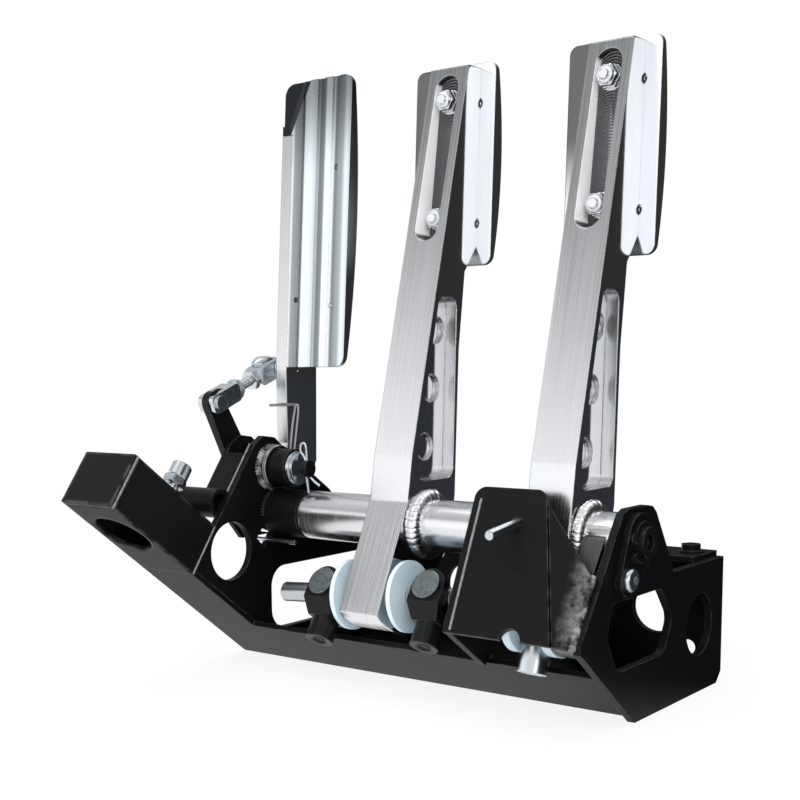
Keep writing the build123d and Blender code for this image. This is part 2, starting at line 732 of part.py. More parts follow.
with BuildPart() as clutch_bushes:
    for bx, bd in ((clutch_hub_x0, 1), (clutch_hub_x1, -1)):
        with BuildSketch(pivot.offset(bx)):
            Circle(hub_bore_r)
            Circle(shaft_r + run_clear, mode=Mode.SUBTRACT)
        extrude(amount=bd * 18)
        with BuildSketch(pivot.offset(bx)):
            Circle(hub_r - 1)
            Circle(shaft_r + run_clear, mode=Mode.SUBTRACT)
        extrude(amount=-bd * flange_t)
clutch_bushes.part.label = "clutch_bushes"
export_step(clutch_bushes.part, "parts/clutch_bushes.step")

with BuildPart() as clutch_pad:
    with BuildSketch(pad_plane):
        with Locations((clutch_x + pad_shift, pad_h / 2)):
            RectangleRounded(pad_w, pad_h, 5)
    extrude(amount=-20)
    with BuildSketch(pad_side.offset(clutch_x - 60)):
        with BuildLine():
            Line((pad_edge, 0), (0, 0))
            Line((0, 0), (0, pad_h))
            Line((0, pad_h), (pad_edge, pad_h))
            ThreePointArc((pad_edge, pad_h), (pad_belly, pad_h / 2), (pad_edge, 0))
        make_face()
    extrude(amount=120, mode=Mode.INTERSECT)
    with BuildSketch(pad_plane):
        with Locations((clutch_x, pad_bolt_z0 - pad_z0), (clutch_x, pad_bolt_z1 - pad_z0)):
            Circle(bolt_r)
        with Locations((clutch_x + 9, 23), (clutch_x + 9, 89)):
            SlotOverall(10, 6)
    extrude(amount=-20, mode=Mode.SUBTRACT)
    with BuildSketch(pad_plane.offset(-pad_seat)):
        with Locations((clutch_x, pad_bolt_z0 - pad_z0), (clutch_x, pad_bolt_z1 - pad_z0)):
            Circle(6)
    extrude(amount=-14, mode=Mode.SUBTRACT)
clutch_pad.part.label = "clutch_pad"
export_step(clutch_pad.part, "parts/clutch_pad.step")

with BuildPart() as clutch_pad_bolts:
    for bz in (pad_bolt_z0 - pad_z0, pad_bolt_z1 - pad_z0):
        with BuildSketch(pad_plane.offset(slot_wall + 10.5)):
            with Locations((clutch_x, bz)):
                Circle(bolt_r)
        extrude(amount=-slot_wall - 10.5 - pad_seat)
        with BuildSketch(pad_plane.offset(-pad_seat)):
            with Locations((clutch_x, bz)):
                Circle(5.5)
        extrude(amount=-2.6)
clutch_pad_bolts.part.label = "clutch_pad_bolts"
export_step(clutch_pad_bolts.part, "parts/clutch_pad_bolts.step")

with BuildPart() as clutch_pad_nuts:
    for bz in (pad_bolt_z0 - pad_z0, pad_bolt_z1 - pad_z0):
        with BuildSketch(pad_plane.offset(slot_wall)):
            with Locations((clutch_x, bz)):
                Circle(6.4)
                Circle(bolt_r, mode=Mode.SUBTRACT)
        extrude(amount=1.5)
        with BuildSketch(pad_plane.offset(slot_wall + 1.5)):
            with Locations((clutch_x, bz)):
                RegularPolygon(5.8, 6)
                Circle(bolt_r, mode=Mode.SUBTRACT)
        extrude(amount=5.5)
        with BuildSketch(pad_plane.offset(slot_wall + 7)):
            with Locations((clutch_x, bz)):
                Circle(4.6)
                Circle(bolt_r, mode=Mode.SUBTRACT)
        extrude(amount=2)
clutch_pad_nuts.part.label = "clutch_pad_nuts"
export_step(clutch_pad_nuts.part, "parts/clutch_pad_nuts.step")

# Stub pin of the clutch clevis, pressed through the lever, with a washer each side of the barrel.
washer_x0 = lower_x0 - barrel_w - 2 * washer_w - 0.4
pin_end = washer_x0 - 3
with BuildPart() as clutch_pin:
    with BuildSketch(pivot.offset(pin_end)):
        with Locations((eye_y, eye_z)):
            Circle(throttle_pin_r)
    extrude(amount=lower_x1 - pin_end)
    with BuildSketch(pivot.offset(lower_x1)):
        with Locations((eye_y, eye_z)):
            Circle(8)
    extrude(amount=3)
clutch_pin.part.label = "clutch_pin"
export_step(clutch_pin.part, "parts/clutch_pin.step")

with BuildPart() as clutch_washers:
    for wx in (washer_x0, lower_x0 - washer_w):
        with BuildSketch(pivot.offset(wx)):
            with Locations((eye_y, eye_z)):
                Circle(washer_r)
                Circle(throttle_pin_r, mode=Mode.SUBTRACT)
        extrude(amount=washer_w)
clutch_washers.part.label = "clutch_washers"
export_step(clutch_washers.part, "parts/clutch_washers.step")

# Zinc clevis barrel of the clutch: hangs down in front of the toe plate, tapped for the push rod.
clevis_mid = lower_x0 - washer_w - 0.2 - barrel_w / 2
clutch_hang = Vector(0, -math.sin(math.radians(20)), -math.cos(math.radians(20)))
clutch_eye = Vector(clevis_mid, pivot_y + eye_y, pivot_h + eye_z)
clutch_stem_plane = Plane(origin=clutch_eye, x_dir=(1, 0, 0), z_dir=clutch_hang)
with BuildPart() as clutch_clevis:
    with BuildSketch(pivot.offset(clevis_mid - barrel_w / 2)):
        with Locations((eye_y, eye_z)):
            Circle(10)
    extrude(amount=barrel_w)
    with BuildSketch(clutch_stem_plane):
        Circle(barrel_w / 2 - 0.4)
    extrude(amount=clutch_stem)
    with BuildSketch(pivot.offset(clevis_mid - barrel_w / 2)):
        with Locations((eye_y, eye_z)):
            Circle(throttle_pin_r + run_clear)
    extrude(amount=barrel_w, mode=Mode.SUBTRACT)
    with BuildSketch(clutch_stem_plane.offset(clutch_stem)):
        Circle(clevis_bore_r)
    extrude(amount=-16, mode=Mode.SUBTRACT)
clutch_clevis.part.label = "clutch_clevis"
export_step(clutch_clevis.part, "parts/clutch_clevis.step")

# Balance bar with its ball, sleeve and large nylon washers. The bar leans in its bearing, right end up.
bar_eye = Vector(bearing_x, pivot_y + eye_y, pivot_h + eye_z)
bar_dir = Vector(math.cos(math.radians(bar_tilt)), 0, math.sin(math.radians(bar_tilt)))
bar_up = Vector(-bar_dir.Z, 0, bar_dir.X)
bar_plane = Plane(origin=bar_eye, x_dir=(0, 1, 0), z_dir=bar_dir)
bar_left = bar_x0 - bearing_x
bar_len = bar_x1 - bar_x0
bar_end_hole = bar_eye + bar_dir * (bar_left + 6) - bar_up * 10
with BuildPart() as balance_bar:
    with BuildSketch(bar_plane.offset(bar_left)):
        Circle(bar_r)
    extrude(amount=bar_len)
    chamfer(balance_bar.faces().sort_by(Axis.X)[0].edges(), 1)
    chamfer(balance_bar.faces().sort_by(Axis.X)[-1].edges(), 1)
    with BuildSketch(Plane(origin=bar_end_hole, x_dir=bar_dir, z_dir=bar_up)):
        Circle(1.5)
    extrude(amount=20, mode=Mode.SUBTRACT)
balance_bar.part.label = "balance_bar"
export_step(balance_bar.part, "parts/balance_bar.step")

ball_mouth = math.sqrt(ball_r**2 - sleeve_r**2)
sleeve_end = lever_w / 2 + washer_off
with BuildPart() as bar_ball:
    with BuildSketch(Plane(origin=bar_eye, x_dir=bar_dir, z_dir=(0, -1, 0))):
        with BuildLine():
            Polyline(
                (-ball_mouth, sleeve_r), (-sleeve_end, sleeve_r), (-sleeve_end, bar_r), (sleeve_end, bar_r),
                (sleeve_end, sleeve_r), (ball_mouth, sleeve_r),
            )
            ThreePointArc((ball_mouth, sleeve_r), (0, ball_r), (-ball_mouth, sleeve_r))
        make_face()
    revolve(axis=Axis(bar_eye, bar_dir))
bar_ball.part.label = "bar_ball"
export_step(bar_ball.part, "parts/bar_ball.step")

with BuildPart() as bar_washers:
    for wx in (-sleeve_end - washer_t, sleeve_end):
        with BuildSketch(bar_plane.offset(wx)):
            Circle(washer_r)
            Circle(bar_r, mode=Mode.SUBTRACT)
        extrude(amount=washer_t)
bar_washers.part.label = "bar_washers"
export_step(bar_washers.part, "parts/bar_washers.step")

# Two black clevises, each riding on a zinc barrel screwed on the bar.
bar_hang = Vector(0.8 * bar_dir.Z, -0.6, -0.8 * bar_dir.X)
bar_pin = Vector(-0.6 * bar_dir.Z, -0.8, 0.6 * bar_dir.X)
left_eye = bar_eye - bar_dir * clevis_left_off
right_eye = bar_eye + bar_dir * clevis_right_off
left_pin_plane = Plane(origin=left_eye, x_dir=bar_dir, z_dir=bar_pin)
right_pin_plane = Plane(origin=right_eye, x_dir=bar_dir, z_dir=bar_pin)
left_stem_plane = Plane(origin=left_eye, x_dir=bar_dir, z_dir=bar_hang)
right_stem_plane = Plane(origin=right_eye, x_dir=bar_dir, z_dir=bar_hang)
with BuildPart() as barrel_left:
    with BuildSketch(left_pin_plane.offset(-barrel_half)):
        Circle(barrel_r)
    extrude(amount=2 * barrel_half)
    with BuildSketch(bar_plane.offset(bar_left)):
        Circle(bar_r + run_clear)
    extrude(amount=bar_len, mode=Mode.SUBTRACT)
barrel_left.part.label = "barrel_left"
export_step(barrel_left.part, "parts/barrel_left.step")

with BuildPart() as barrel_right:
    with BuildSketch(right_pin_plane.offset(-barrel_half)):
        Circle(barrel_r)
    extrude(amount=2 * barrel_half)
    with BuildSketch(bar_plane.offset(bar_left)):
        Circle(bar_r + run_clear)
    extrude(amount=bar_len, mode=Mode.SUBTRACT)
barrel_right.part.label = "barrel_right"
export_step(barrel_right.part, "parts/barrel_right.step")

with BuildPart() as clevis_left:
    with BuildSketch(left_pin_plane.offset(-clevis_ear)):
        Circle(clevis_w / 2)
        with BuildLine():
            Polyline(
                (-clevis_w / 2, 0), (clevis_w / 2, 0), (clevis_w / 2, -clevis_neck),
                (stem_r, -clevis_neck - 8), (-stem_r, -clevis_neck - 8), (-clevis_w / 2, -clevis_neck),
                close=True,
            )
        make_face()
    extrude(amount=2 * clevis_ear)
    with BuildSketch(Plane(origin=left_eye - bar_dir * clevis_w, x_dir=bar_pin, z_dir=bar_dir)):
        for sg in (-1, 1):
            with BuildLine():
                Polyline(
                    (sg * clevis_ear, clevis_neck), (sg * stem_r, clevis_neck + 8),
                    (sg * stem_r, clevis_neck + 10), (sg * (clevis_ear + 1), clevis_neck + 10),
                    (sg * (clevis_ear + 1), clevis_neck), close=True,
                )
            make_face()
        with Locations((0, -1)):
            Rectangle(2 * clevis_gap, 24)
    extrude(amount=2 * clevis_w, mode=Mode.SUBTRACT)
    with BuildSketch(left_stem_plane.offset(clevis_neck + 5)):
        Circle(stem_r)
    extrude(amount=stem_len - clevis_neck - 5)
    with BuildSketch(left_pin_plane.offset(-barrel_half)):
        Circle(barrel_r + run_clear)
    extrude(amount=2 * barrel_half, mode=Mode.SUBTRACT)
    with BuildSketch(left_stem_plane.offset(stem_len)):
        Circle(clevis_bore_r)
    extrude(amount=-16, mode=Mode.SUBTRACT)
clevis_left.part.label = "clevis_left"
export_step(clevis_left.part, "parts/clevis_left.step")

with BuildPart() as clevis_right:
    with BuildSketch(right_pin_plane.offset(-clevis_ear)):
        Circle(clevis_w / 2)
        with BuildLine():
            Polyline(
                (-clevis_w / 2, 0), (clevis_w / 2, 0), (clevis_w / 2, -clevis_neck),
                (stem_r, -clevis_neck - 8), (-stem_r, -clevis_neck - 8), (-clevis_w / 2, -clevis_neck),
                close=True,
            )
        make_face()
    extrude(amount=2 * clevis_ear)
    with BuildSketch(Plane(origin=right_eye - bar_dir * clevis_w, x_dir=bar_pin, z_dir=bar_dir)):
        for sg in (-1, 1):
            with BuildLine():
                Polyline(
                    (sg * clevis_ear, clevis_neck), (sg * stem_r, clevis_neck + 8),
                    (sg * stem_r, clevis_neck + 10), (sg * (clevis_ear + 1), clevis_neck + 10),
                    (sg * (clevis_ear + 1), clevis_neck), close=True,
                )
            make_face()
        with Locations((0, -1)):
            Rectangle(2 * clevis_gap, 24)
    extrude(amount=2 * clevis_w, mode=Mode.SUBTRACT)
    with BuildSketch(right_stem_plane.offset(clevis_neck + 5)):
        Circle(stem_r)
    extrude(amount=stem_len - clevis_neck - 5)
    with BuildSketch(right_pin_plane.offset(-barrel_half)):
        Circle(barrel_r + run_clear)
    extrude(amount=2 * barrel_half, mode=Mode.SUBTRACT)
    with BuildSketch(right_stem_plane.offset(stem_len)):
        Circle(clevis_bore_r)
    extrude(amount=-16, mode=Mode.SUBTRACT)
clevis_right.part.label = "clevis_right"
export_step(clevis_right.part, "parts/clevis_right.step")

# Accelerator arm: flat bar cranked from the shaft up along the pad's left edge.
with BuildPart() as accel_arm:
    with BuildSketch(pivot.offset(arm_x - arm_t / 2)) as arm_profile:
        with BuildLine():
            Polyline(
                (-13, -2), (-11, 7), (4, 15), (12, 26), (16.5, 40), (16, 84), (25.8, 223.3), (40.7, 222.3),
                (31.5, 100), (45, 86), (44, 28), (34, 8), (13, -8), (0, -13), (-9, -9.4), close=True,
            )
        make_face()
        Circle(shaft_r + run_clear, mode=Mode.SUBTRACT)
        with Locations((arm_eye_y, arm_eye_z)):
            Circle(link_pin_r, mode=Mode.SUBTRACT)
    extrude(amount=arm_t)
accel_arm.part.label = "accel_arm"
export_step(accel_arm.part, "parts/accel_arm.step")

# Tall accelerator pad: shallow flutes down its back, and a tab over the arm's end with a slanting bevel.
arm_right = arm_x + arm_t / 2
accel_lean = math.degrees(math.atan(11 / 156))
accel_plane = Plane(
    origin=(arm_right, pivot_y + 16.2, pivot_h + accel_pad_z), x_dir=(1, 0, 0),
    z_dir=(0, -math.cos(math.radians(accel_lean)), math.sin(math.radians(accel_lean))),
)
accel_side = Plane(origin=accel_plane.origin, x_dir=-accel_plane.z_dir, z_dir=(1, 0, 0))
bevel_up = (accel_plane.x_dir * 12.7 + accel_plane.y_dir * 28.4).normalized()
bevel_out = (accel_plane.y_dir * 12.7 - accel_plane.x_dir * 28.4).normalized()
bevel_start = accel_plane.origin + accel_plane.y_dir * (tab_y + 2)
with BuildPart() as accel_pad:
    with BuildSketch(accel_plane) as accel_face:
        with BuildLine():
            Polyline(
                (0, 0), (accel_pad_w, 0), (accel_pad_w, accel_pad_h), (-arm_t, accel_pad_h),
                (-arm_t, tab_y), (0, tab_y), close=True,
            )
        make_face()
        fillet(accel_face.vertices().group_by(Axis.X)[-1], 6)
        fillet(accel_face.vertices().group_by(Axis.X)[0].sort_by(Axis.Y)[-1], 7)
    extrude(amount=-12)
    with BuildSketch(accel_side.offset(-10)):
        with BuildLine():
            Line((pad_edge, 0), (0, 0))
            Line((0, 0), (0, accel_pad_h))
            Line((0, accel_pad_h), (pad_edge, accel_pad_h))
            ThreePointArc((pad_edge, accel_pad_h), (pad_belly, accel_pad_h / 2), (pad_edge, 0))
        make_face()
    extrude(amount=accel_pad_w + 20, mode=Mode.INTERSECT)
    with BuildSketch(Plane(origin=bevel_start, x_dir=bevel_out, z_dir=bevel_up)):
        with BuildLine():
            Polyline((0, 0), (5.5, -1.5), (40, -1.5), (40, 2), (0, 2), close=True)
        make_face()
    extrude(amount=45, mode=Mode.SUBTRACT)
    with BuildSketch(accel_plane):
        for gx in (10, 21, 32):
            with Locations((gx, accel_pad_h / 2)):
                Rectangle(5, accel_pad_h)
    extrude(amount=-1, mode=Mode.SUBTRACT)
    with BuildSketch(accel_plane):
        with Locations((33, 116), (6, 40), (32, 36)):
            Circle(1.6)
    extrude(amount=-2.5, mode=Mode.SUBTRACT)
accel_pad.part.label = "accel_pad"
export_step(accel_pad.part, "parts/accel_pad.step")

# Throttle lever on its own pin, held in the boss by washers and a split pin.
with BuildPart() as throttle_lever:
    with BuildSketch(pivot.offset(link_x - lever_half)):
        with Locations((throttle_y, throttle_z)):
            Circle(9)
        with Locations((lever_eye_y, lever_eye_z)):
            Circle(7)
        make_hull()
        with Locations((throttle_y, throttle_z)):
            Circle(throttle_pin_r, mode=Mode.SUBTRACT)
        with Locations((lever_eye_y, lever_eye_z)):
            Circle(link_pin_r + 0.9, mode=Mode.SUBTRACT)
    extrude(amount=2 * lever_half)
throttle_lever.part.label = "throttle_lever"
export_step(throttle_lever.part, "parts/throttle_lever.step")

with BuildPart() as throttle_pin:
    with BuildSketch(pivot.offset(link_x - lever_half - 3)):
        with Locations((throttle_y, throttle_z)):
            Circle(throttle_pin_r)
    extrude(amount=-85.5 - link_x + lever_half + 3)
    with BuildSketch(pivot.offset(link_x - lever_half - 3)):
        with Locations((throttle_y, throttle_z)):
            Circle(8)
    extrude(amount=3)
    with BuildSketch(Plane.XY.offset(pivot_h + throttle_z - 10)):
        with Locations((split_x, pivot_y + throttle_y)):
            Circle(1.3)
    extrude(amount=20, mode=Mode.SUBTRACT)
throttle_pin.part.label = "throttle_pin"
export_step(throttle_pin.part, "parts/throttle_pin.step")

with BuildPart() as throttle_washers:
    for wx, wr in ((accel_plate_x + 19.3, 10.0), (accel_plate_x + 21.6, 9.2)):
        with BuildSketch(pivot.offset(wx)):
            with Locations((throttle_y, throttle_z)):
                Circle(wr)
                Circle(throttle_pin_r, mode=Mode.SUBTRACT)
        extrude(amount=2.2)
throttle_washers.part.label = "throttle_washers"
export_step(throttle_washers.part, "parts/throttle_washers.step")

with BuildPart() as split_pin:
    with BuildSketch(Plane.XY.offset(pivot_h + throttle_z - 12)):
        with Locations((split_x, pivot_y + throttle_y)):
            Circle(1.25)
    extrude(amount=23)
    with Locations((split_x, pivot_y + throttle_y, pivot_h + throttle_z + 13.4)):
        Torus(2.6, 1.0, rotation=(90, 0, 35))
split_pin.part.label = "split_pin"
export_step(split_pin.part, "parts/split_pin.step")

# Link between the accelerator arm and the throttle lever: rod, lock nuts, two forks and their pins.
link_a = Vector(link_x, pivot_y + arm_eye_y, pivot_h + arm_eye_z)
link_b = Vector(link_x, pivot_y + lever_eye_y, pivot_h + lever_eye_z)
link_u = (link_b - link_a).normalized()
link_len = (link_b - link_a).length
with BuildPart() as link_rod:
    with BuildSketch(Plane(origin=link_a + link_u * (fork_len - 10), x_dir=(1, 0, 0), z_dir=link_u)):
        Circle(link_rod_r)
    extrude(amount=link_len - 2 * fork_len + 20)
link_rod.part.label = "link_rod"
export_step(link_rod.part, "parts/link_rod.step")

with BuildPart() as link_nuts:
    for nd in (fork_len, link_len - fork_len - 4):
        with BuildSketch(Plane(origin=link_a + link_u * nd, x_dir=(1, 0, 0), z_dir=link_u)):
            RegularPolygon(6.4, 6)
            Circle(link_rod_r, mode=Mode.SUBTRACT)
        extrude(amount=4)
link_nuts.part.label = "link_nuts"
export_step(link_nuts.part, "parts/link_nuts.step")

with BuildPart() as link_forks:
    for fork_eye, fork_dir in ((link_a, link_u), (link_b, -link_u)):
        with BuildSketch(Plane(origin=fork_eye, x_dir=fork_dir, z_dir=(1, 0, 0)).offset(-ear_half)):
            with Locations((fork_len / 2 - 3, 0)):
                RectangleRounded(fork_len + 6, 11, 3)
        extrude(amount=2 * ear_half)
        with BuildSketch(Plane(origin=fork_eye, x_dir=fork_dir, z_dir=(1, 0, 0)).offset(-ear_gap)):
            with Locations((-1, 0)):
                Rectangle(20, 14)
        extrude(amount=2 * ear_gap, mode=Mode.SUBTRACT)
        fork_end = Plane(origin=fork_eye + fork_dir * (fork_len + 1), x_dir=(1, 0, 0), z_dir=fork_dir)
        with BuildSketch(fork_end):
            Circle(link_rod_r)
        extrude(amount=-11, mode=Mode.SUBTRACT)
    with BuildSketch(Plane(origin=link_a, x_dir=link_u, z_dir=(1, 0, 0)).offset(-ear_half - 1)):
        Circle(link_pin_r + run_clear)
    extrude(amount=2 * ear_half + 2, mode=Mode.SUBTRACT)
    with BuildSketch(Plane(origin=link_b, x_dir=link_u, z_dir=(1, 0, 0)).offset(-ear_half - 1)):
        Circle(link_pin_r)
    extrude(amount=2 * ear_half + 2, mode=Mode.SUBTRACT)
link_forks.part.label = "link_forks"
export_step(link_forks.part, "parts/link_forks.step")

with BuildPart() as lever_pin:
    with BuildSketch(Plane(origin=link_b, x_dir=link_u, z_dir=(1, 0, 0)).offset(-ear_half - 1.5)):
        Circle(link_pin_r)
    extrude(amount=2 * ear_half + 3)
    with BuildSketch(Plane(origin=link_b, x_dir=link_u, z_dir=(1, 0, 0)).offset(ear_half)):
        Circle(link_pin_r + 1.8)
    extrude(amount=1.5)
lever_pin.part.label = "lever_pin"
export_step(lever_pin.part, "parts/lever_pin.step")

with BuildPart() as arm_pin:
    with BuildSketch(pivot.offset(link_x - ear_half - 1.8)):
        with Locations((arm_eye_y, arm_eye_z)):
            Circle(link_pin_r)
    extrude(amount=arm_x + arm_t / 2 - link_x + ear_half + 1.8)
    with BuildSketch(pivot.offset(link_x + ear_half + side_gap)):
        with Locations((arm_eye_y, arm_eye_z)):
            Circle(5.5)
    extrude(amount=arm_x - arm_t / 2 - link_x - ear_half - side_gap)
    with BuildSketch(pivot.offset(link_x - ear_half - 1.8)):
        with Locations((arm_eye_y, arm_eye_z)):
            Circle(4.2)
    extrude(amount=1.5)
arm_pin.part.label = "arm_pin"
export_step(arm_pin.part, "parts/arm_pin.step")

# Return spring: two coils round the throttle boss and a leg that hooks in front of the arm.
coil_r = boss_r + 1.4
spring_a = Vector(-109.5, pivot_y + throttle_y + coil_r, pivot_h + throttle_z)
spring_b = Vector(-109.5, pivot_y + 13.4, pivot_h + 63.6)
spring_c = Vector(-132, pivot_y + 13.4, pivot_h + 63.6)
with BuildPart() as return_spring:
    for cx in (-111.4, -109.5):
        with Locations((cx, pivot_y + throttle_y, pivot_h + throttle_z)):
            Torus(coil_r, wire_r, rotation=(0, 90, 0))
    for wire_a, wire_b in ((spring_a, spring_b), (spring_b, spring_c)):
        with BuildSketch(Plane(origin=wire_a, z_dir=(wire_b - wire_a).normalized())):
            Circle(wire_r)
        extrude(amount=(wire_b - wire_a).length)
    with Locations(spring_b):
        Sphere(wire_r)
return_spring.part.label = "return_spring"
export_step(return_spring.part, "parts/return_spring.step")
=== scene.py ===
import math

import bpy
from mathutils import Matrix, Vector


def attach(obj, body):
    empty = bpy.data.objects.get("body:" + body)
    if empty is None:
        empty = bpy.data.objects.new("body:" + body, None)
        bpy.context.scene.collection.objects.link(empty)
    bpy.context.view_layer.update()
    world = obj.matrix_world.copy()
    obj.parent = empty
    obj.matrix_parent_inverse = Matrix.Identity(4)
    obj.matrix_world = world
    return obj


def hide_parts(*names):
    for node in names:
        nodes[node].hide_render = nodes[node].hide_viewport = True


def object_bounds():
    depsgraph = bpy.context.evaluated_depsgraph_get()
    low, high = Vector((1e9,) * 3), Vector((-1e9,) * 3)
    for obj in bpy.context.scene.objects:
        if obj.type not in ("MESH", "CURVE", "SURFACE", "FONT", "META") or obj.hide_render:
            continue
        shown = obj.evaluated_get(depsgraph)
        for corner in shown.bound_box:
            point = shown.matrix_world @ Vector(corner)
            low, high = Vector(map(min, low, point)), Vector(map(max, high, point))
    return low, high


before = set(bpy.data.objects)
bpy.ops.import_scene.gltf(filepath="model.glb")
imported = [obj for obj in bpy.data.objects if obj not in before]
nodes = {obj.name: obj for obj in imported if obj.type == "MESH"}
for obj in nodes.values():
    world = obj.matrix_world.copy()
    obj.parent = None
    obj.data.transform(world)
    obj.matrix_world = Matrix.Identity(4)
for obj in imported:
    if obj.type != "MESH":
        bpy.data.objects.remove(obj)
cad_low, cad_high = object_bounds()


# The welded steel frame: floor plate, sloping toe plate, side plates, rear channel and box strut.
# All of it is laser-cut and folded sheet in one fine-grained black powder coat, rubbed pale on its edges;
# that pale edge colour is also a painted highlight.
def dressed(tree, node, terms):
    for socket, term in terms.items():
        entry = node.inputs[socket]
        if isinstance(term, bpy.types.NodeSocket):
            tree.links.new(term, entry)
        elif entry.type == "RGBA":
            entry.default_value = (*term, 1)
        else:
            entry.default_value = term
    return node


def fitted(tree, kind, terms, **settings):
    node = tree.nodes.new(kind)
    for label, setting in settings.items():
        setattr(node, label, setting)
    return dressed(tree, node, terms)


def reckoned(tree, operation, *terms):
    return fitted(tree, "ShaderNodeMath", dict(enumerate(terms)), operation=operation).outputs["Value"]


def faded(tree, value, start, end, low=0.0, high=1.0, ease="LINEAR"):
    terms = {"Value": value, "From Min": start, "From Max": end, "To Min": low, "To Max": high}
    return fitted(tree, "ShaderNodeMapRange", terms, interpolation_type=ease).outputs["Result"]


def measured_along(tree, place, way):
    terms = {0: place, 1: way}
    return fitted(tree, "ShaderNodeVectorMath", terms, operation="DOT_PRODUCT").outputs["Value"]


def on_piece(tree):
    return tree.nodes.new("ShaderNodeTexCoord").outputs["Object"]


def mottled(tree, scale, detail, roughness=0.5):
    terms = {"Vector": on_piece(tree), "Scale": scale, "Detail": detail, "Roughness": roughness}
    return fitted(tree, "ShaderNodeTexNoise", terms).outputs["Fac"]


def new_group(name, inputs, outputs):
    group = bpy.data.node_groups.new(name, "ShaderNodeTree")
    for label, kind, value in inputs:
        socket = group.interface.new_socket(label, in_out="INPUT", socket_type=kind)
        if value is not None:
            socket.default_value = value
    for label, kind in outputs:
        group.interface.new_socket(label, in_out="OUTPUT", socket_type=kind)
    return group, group.nodes.new("NodeGroupInput").outputs


edge_group, edge_in = new_group(
    "edge_wear_and_highlight",
    [("Radius", "NodeSocketFloat", 0.0006), ("Amount", "NodeSocketFloat", 0.5)],
    [("Mask", "NodeSocketFloat"), ("Normal", "NodeSocketVector")],
)
edge_bevel = fitted(edge_group, "ShaderNodeBevel", {"Radius": edge_in["Radius"]}, samples=6)
edge_rounded = edge_bevel.outputs["Normal"]
edge_flat = edge_group.nodes.new("ShaderNodeNewGeometry").outputs["Normal"]
edge_near = faded(edge_group, measured_along(edge_group, edge_rounded, edge_flat), 0.995, 0.80)
edge_broken = faded(edge_group, mottled(edge_group, 160.0, 3.0), 0.38, 0.60)
# The mask paints edges pale: partly worn paint, partly a painted highlight where light would catch them.
edge_bare_and_lit = reckoned(edge_group, "MULTIPLY", edge_near, edge_broken)
edge_mask = reckoned(edge_group, "MULTIPLY", edge_bare_and_lit, edge_in["Amount"])
fitted(edge_group, "NodeGroupOutput", {"Mask": edge_mask, "Normal": edge_rounded})

grain_group, grain_in = new_group(
    "coat_grain",
    [
        ("Scale", "NodeSocketFloat", 1500.0),
        ("Height", "NodeSocketFloat", 0.00009),
        ("Normal", "NodeSocketVector", None),
    ],
    [("Normal", "NodeSocketVector")],
)
grain_height = mottled(grain_group, grain_in["Scale"], 2.0)
grain_terms = {"Height": grain_height, "Distance": grain_in["Height"], "Normal": grain_in["Normal"]}
grain_bump = fitted(grain_group, "ShaderNodeBump", grain_terms)
fitted(grain_group, "NodeGroupOutput", {"Normal": grain_bump.outputs["Normal"]})


def edge_wear_and_highlight(tree, radius=0.0006, amount=0.5):
    terms = {"Radius": radius, "Amount": amount}
    return fitted(tree, "ShaderNodeGroup", terms, node_tree=edge_group).outputs


def new_material(name):
    made = bpy.data.materials.new(name)
    made.use_nodes = True
    return made, made.node_tree, made.node_tree.nodes["Principled BSDF"]


def toned(tree, share, dark, light):
    return fitted(tree, "ShaderNodeMix", {0: share, 6: dark, 7: light}, data_type="RGBA").outputs[2]


bare_steel_and_edge_highlight = (0.16, 0.16, 0.17)
bracket_slope = (0.0, 0.423, 0.906)
bracket_crease = 0.0268


def powder_coat(name, edge_radius, crease=0.0):
    made, tree, face = new_material(name)
    edge = edge_wear_and_highlight(tree, edge_radius, 0.55)
    normal = edge["Normal"]
    if crease:
        up_slope = measured_along(tree, on_piece(tree), bracket_slope)
        fold = reckoned(tree, "ABSOLUTE", reckoned(tree, "SUBTRACT", up_slope, crease))
        bend_terms = {"Height": fold, "Distance": 0.09, "Normal": normal}
        bend = fitted(tree, "ShaderNodeBump", bend_terms, invert=True)
        normal = bend.outputs["Normal"]
    grain = fitted(tree, "ShaderNodeGroup", {"Normal": normal}, node_tree=grain_group)
    colour = toned(tree, edge["Mask"], (0.0038, 0.0038, 0.0042), bare_steel_and_edge_highlight)
    dressed(tree, face, {"Base Color": colour, "Roughness": 0.44, "Specular IOR Level": 0.13})
    dressed(tree, face, {"Normal": grain.outputs["Normal"]})
    return made


coat = powder_coat("black_powder_coat", 0.0007)
folded_coat = powder_coat("folded_powder_coat", 0.0034)
creased_coat = powder_coat("creased_powder_coat", 0.0010, crease=bracket_crease)
rubbed_coat = powder_coat("rubbed_powder_coat", 0.0010)


def axes_of(tree, place):
    return fitted(tree, "ShaderNodeSeparateXYZ", {"Vector": place}).outputs


def already(tree, socket):
    return tree.nodes["Principled BSDF"].inputs[socket].links[0].from_socket


patch_tree = rubbed_coat.node_tree
patch_side = faded(patch_tree, axes_of(patch_tree, on_piece(patch_tree))["X"], 0.1015, 0.1115)
patch_cloud = faded(patch_tree, mottled(patch_tree, 95.0, 6.0, 0.7), 0.44, 0.62)
patch_share = reckoned(patch_tree, "MULTIPLY", patch_side, patch_cloud)
patch_tone = toned(patch_tree, patch_share, already(patch_tree, "Base Color"), (0.16, 0.16, 0.165))
dressed(patch_tree, patch_tree.nodes["Principled BSDF"], {"Base Color": patch_tone})


def paint(material, names):
    for name in names:
        nodes[name].data.materials.clear()
        nodes[name].data.materials.append(material)


paint(
    coat,
    [
        "floor_plate", "toe_plate", "accel_side_plate", "accel_outer_plate", "cross_tube", "end_plate",
        "inner_plate", "rear_channel", "keeper_plate", "shaft_boss", "throttle_boss",
    ],
)
paint(folded_coat, ["strut_tube", "strut_cap"])
paint(rubbed_coat, ["bracket_cheek"])
paint(creased_coat, ["front_bracket"])


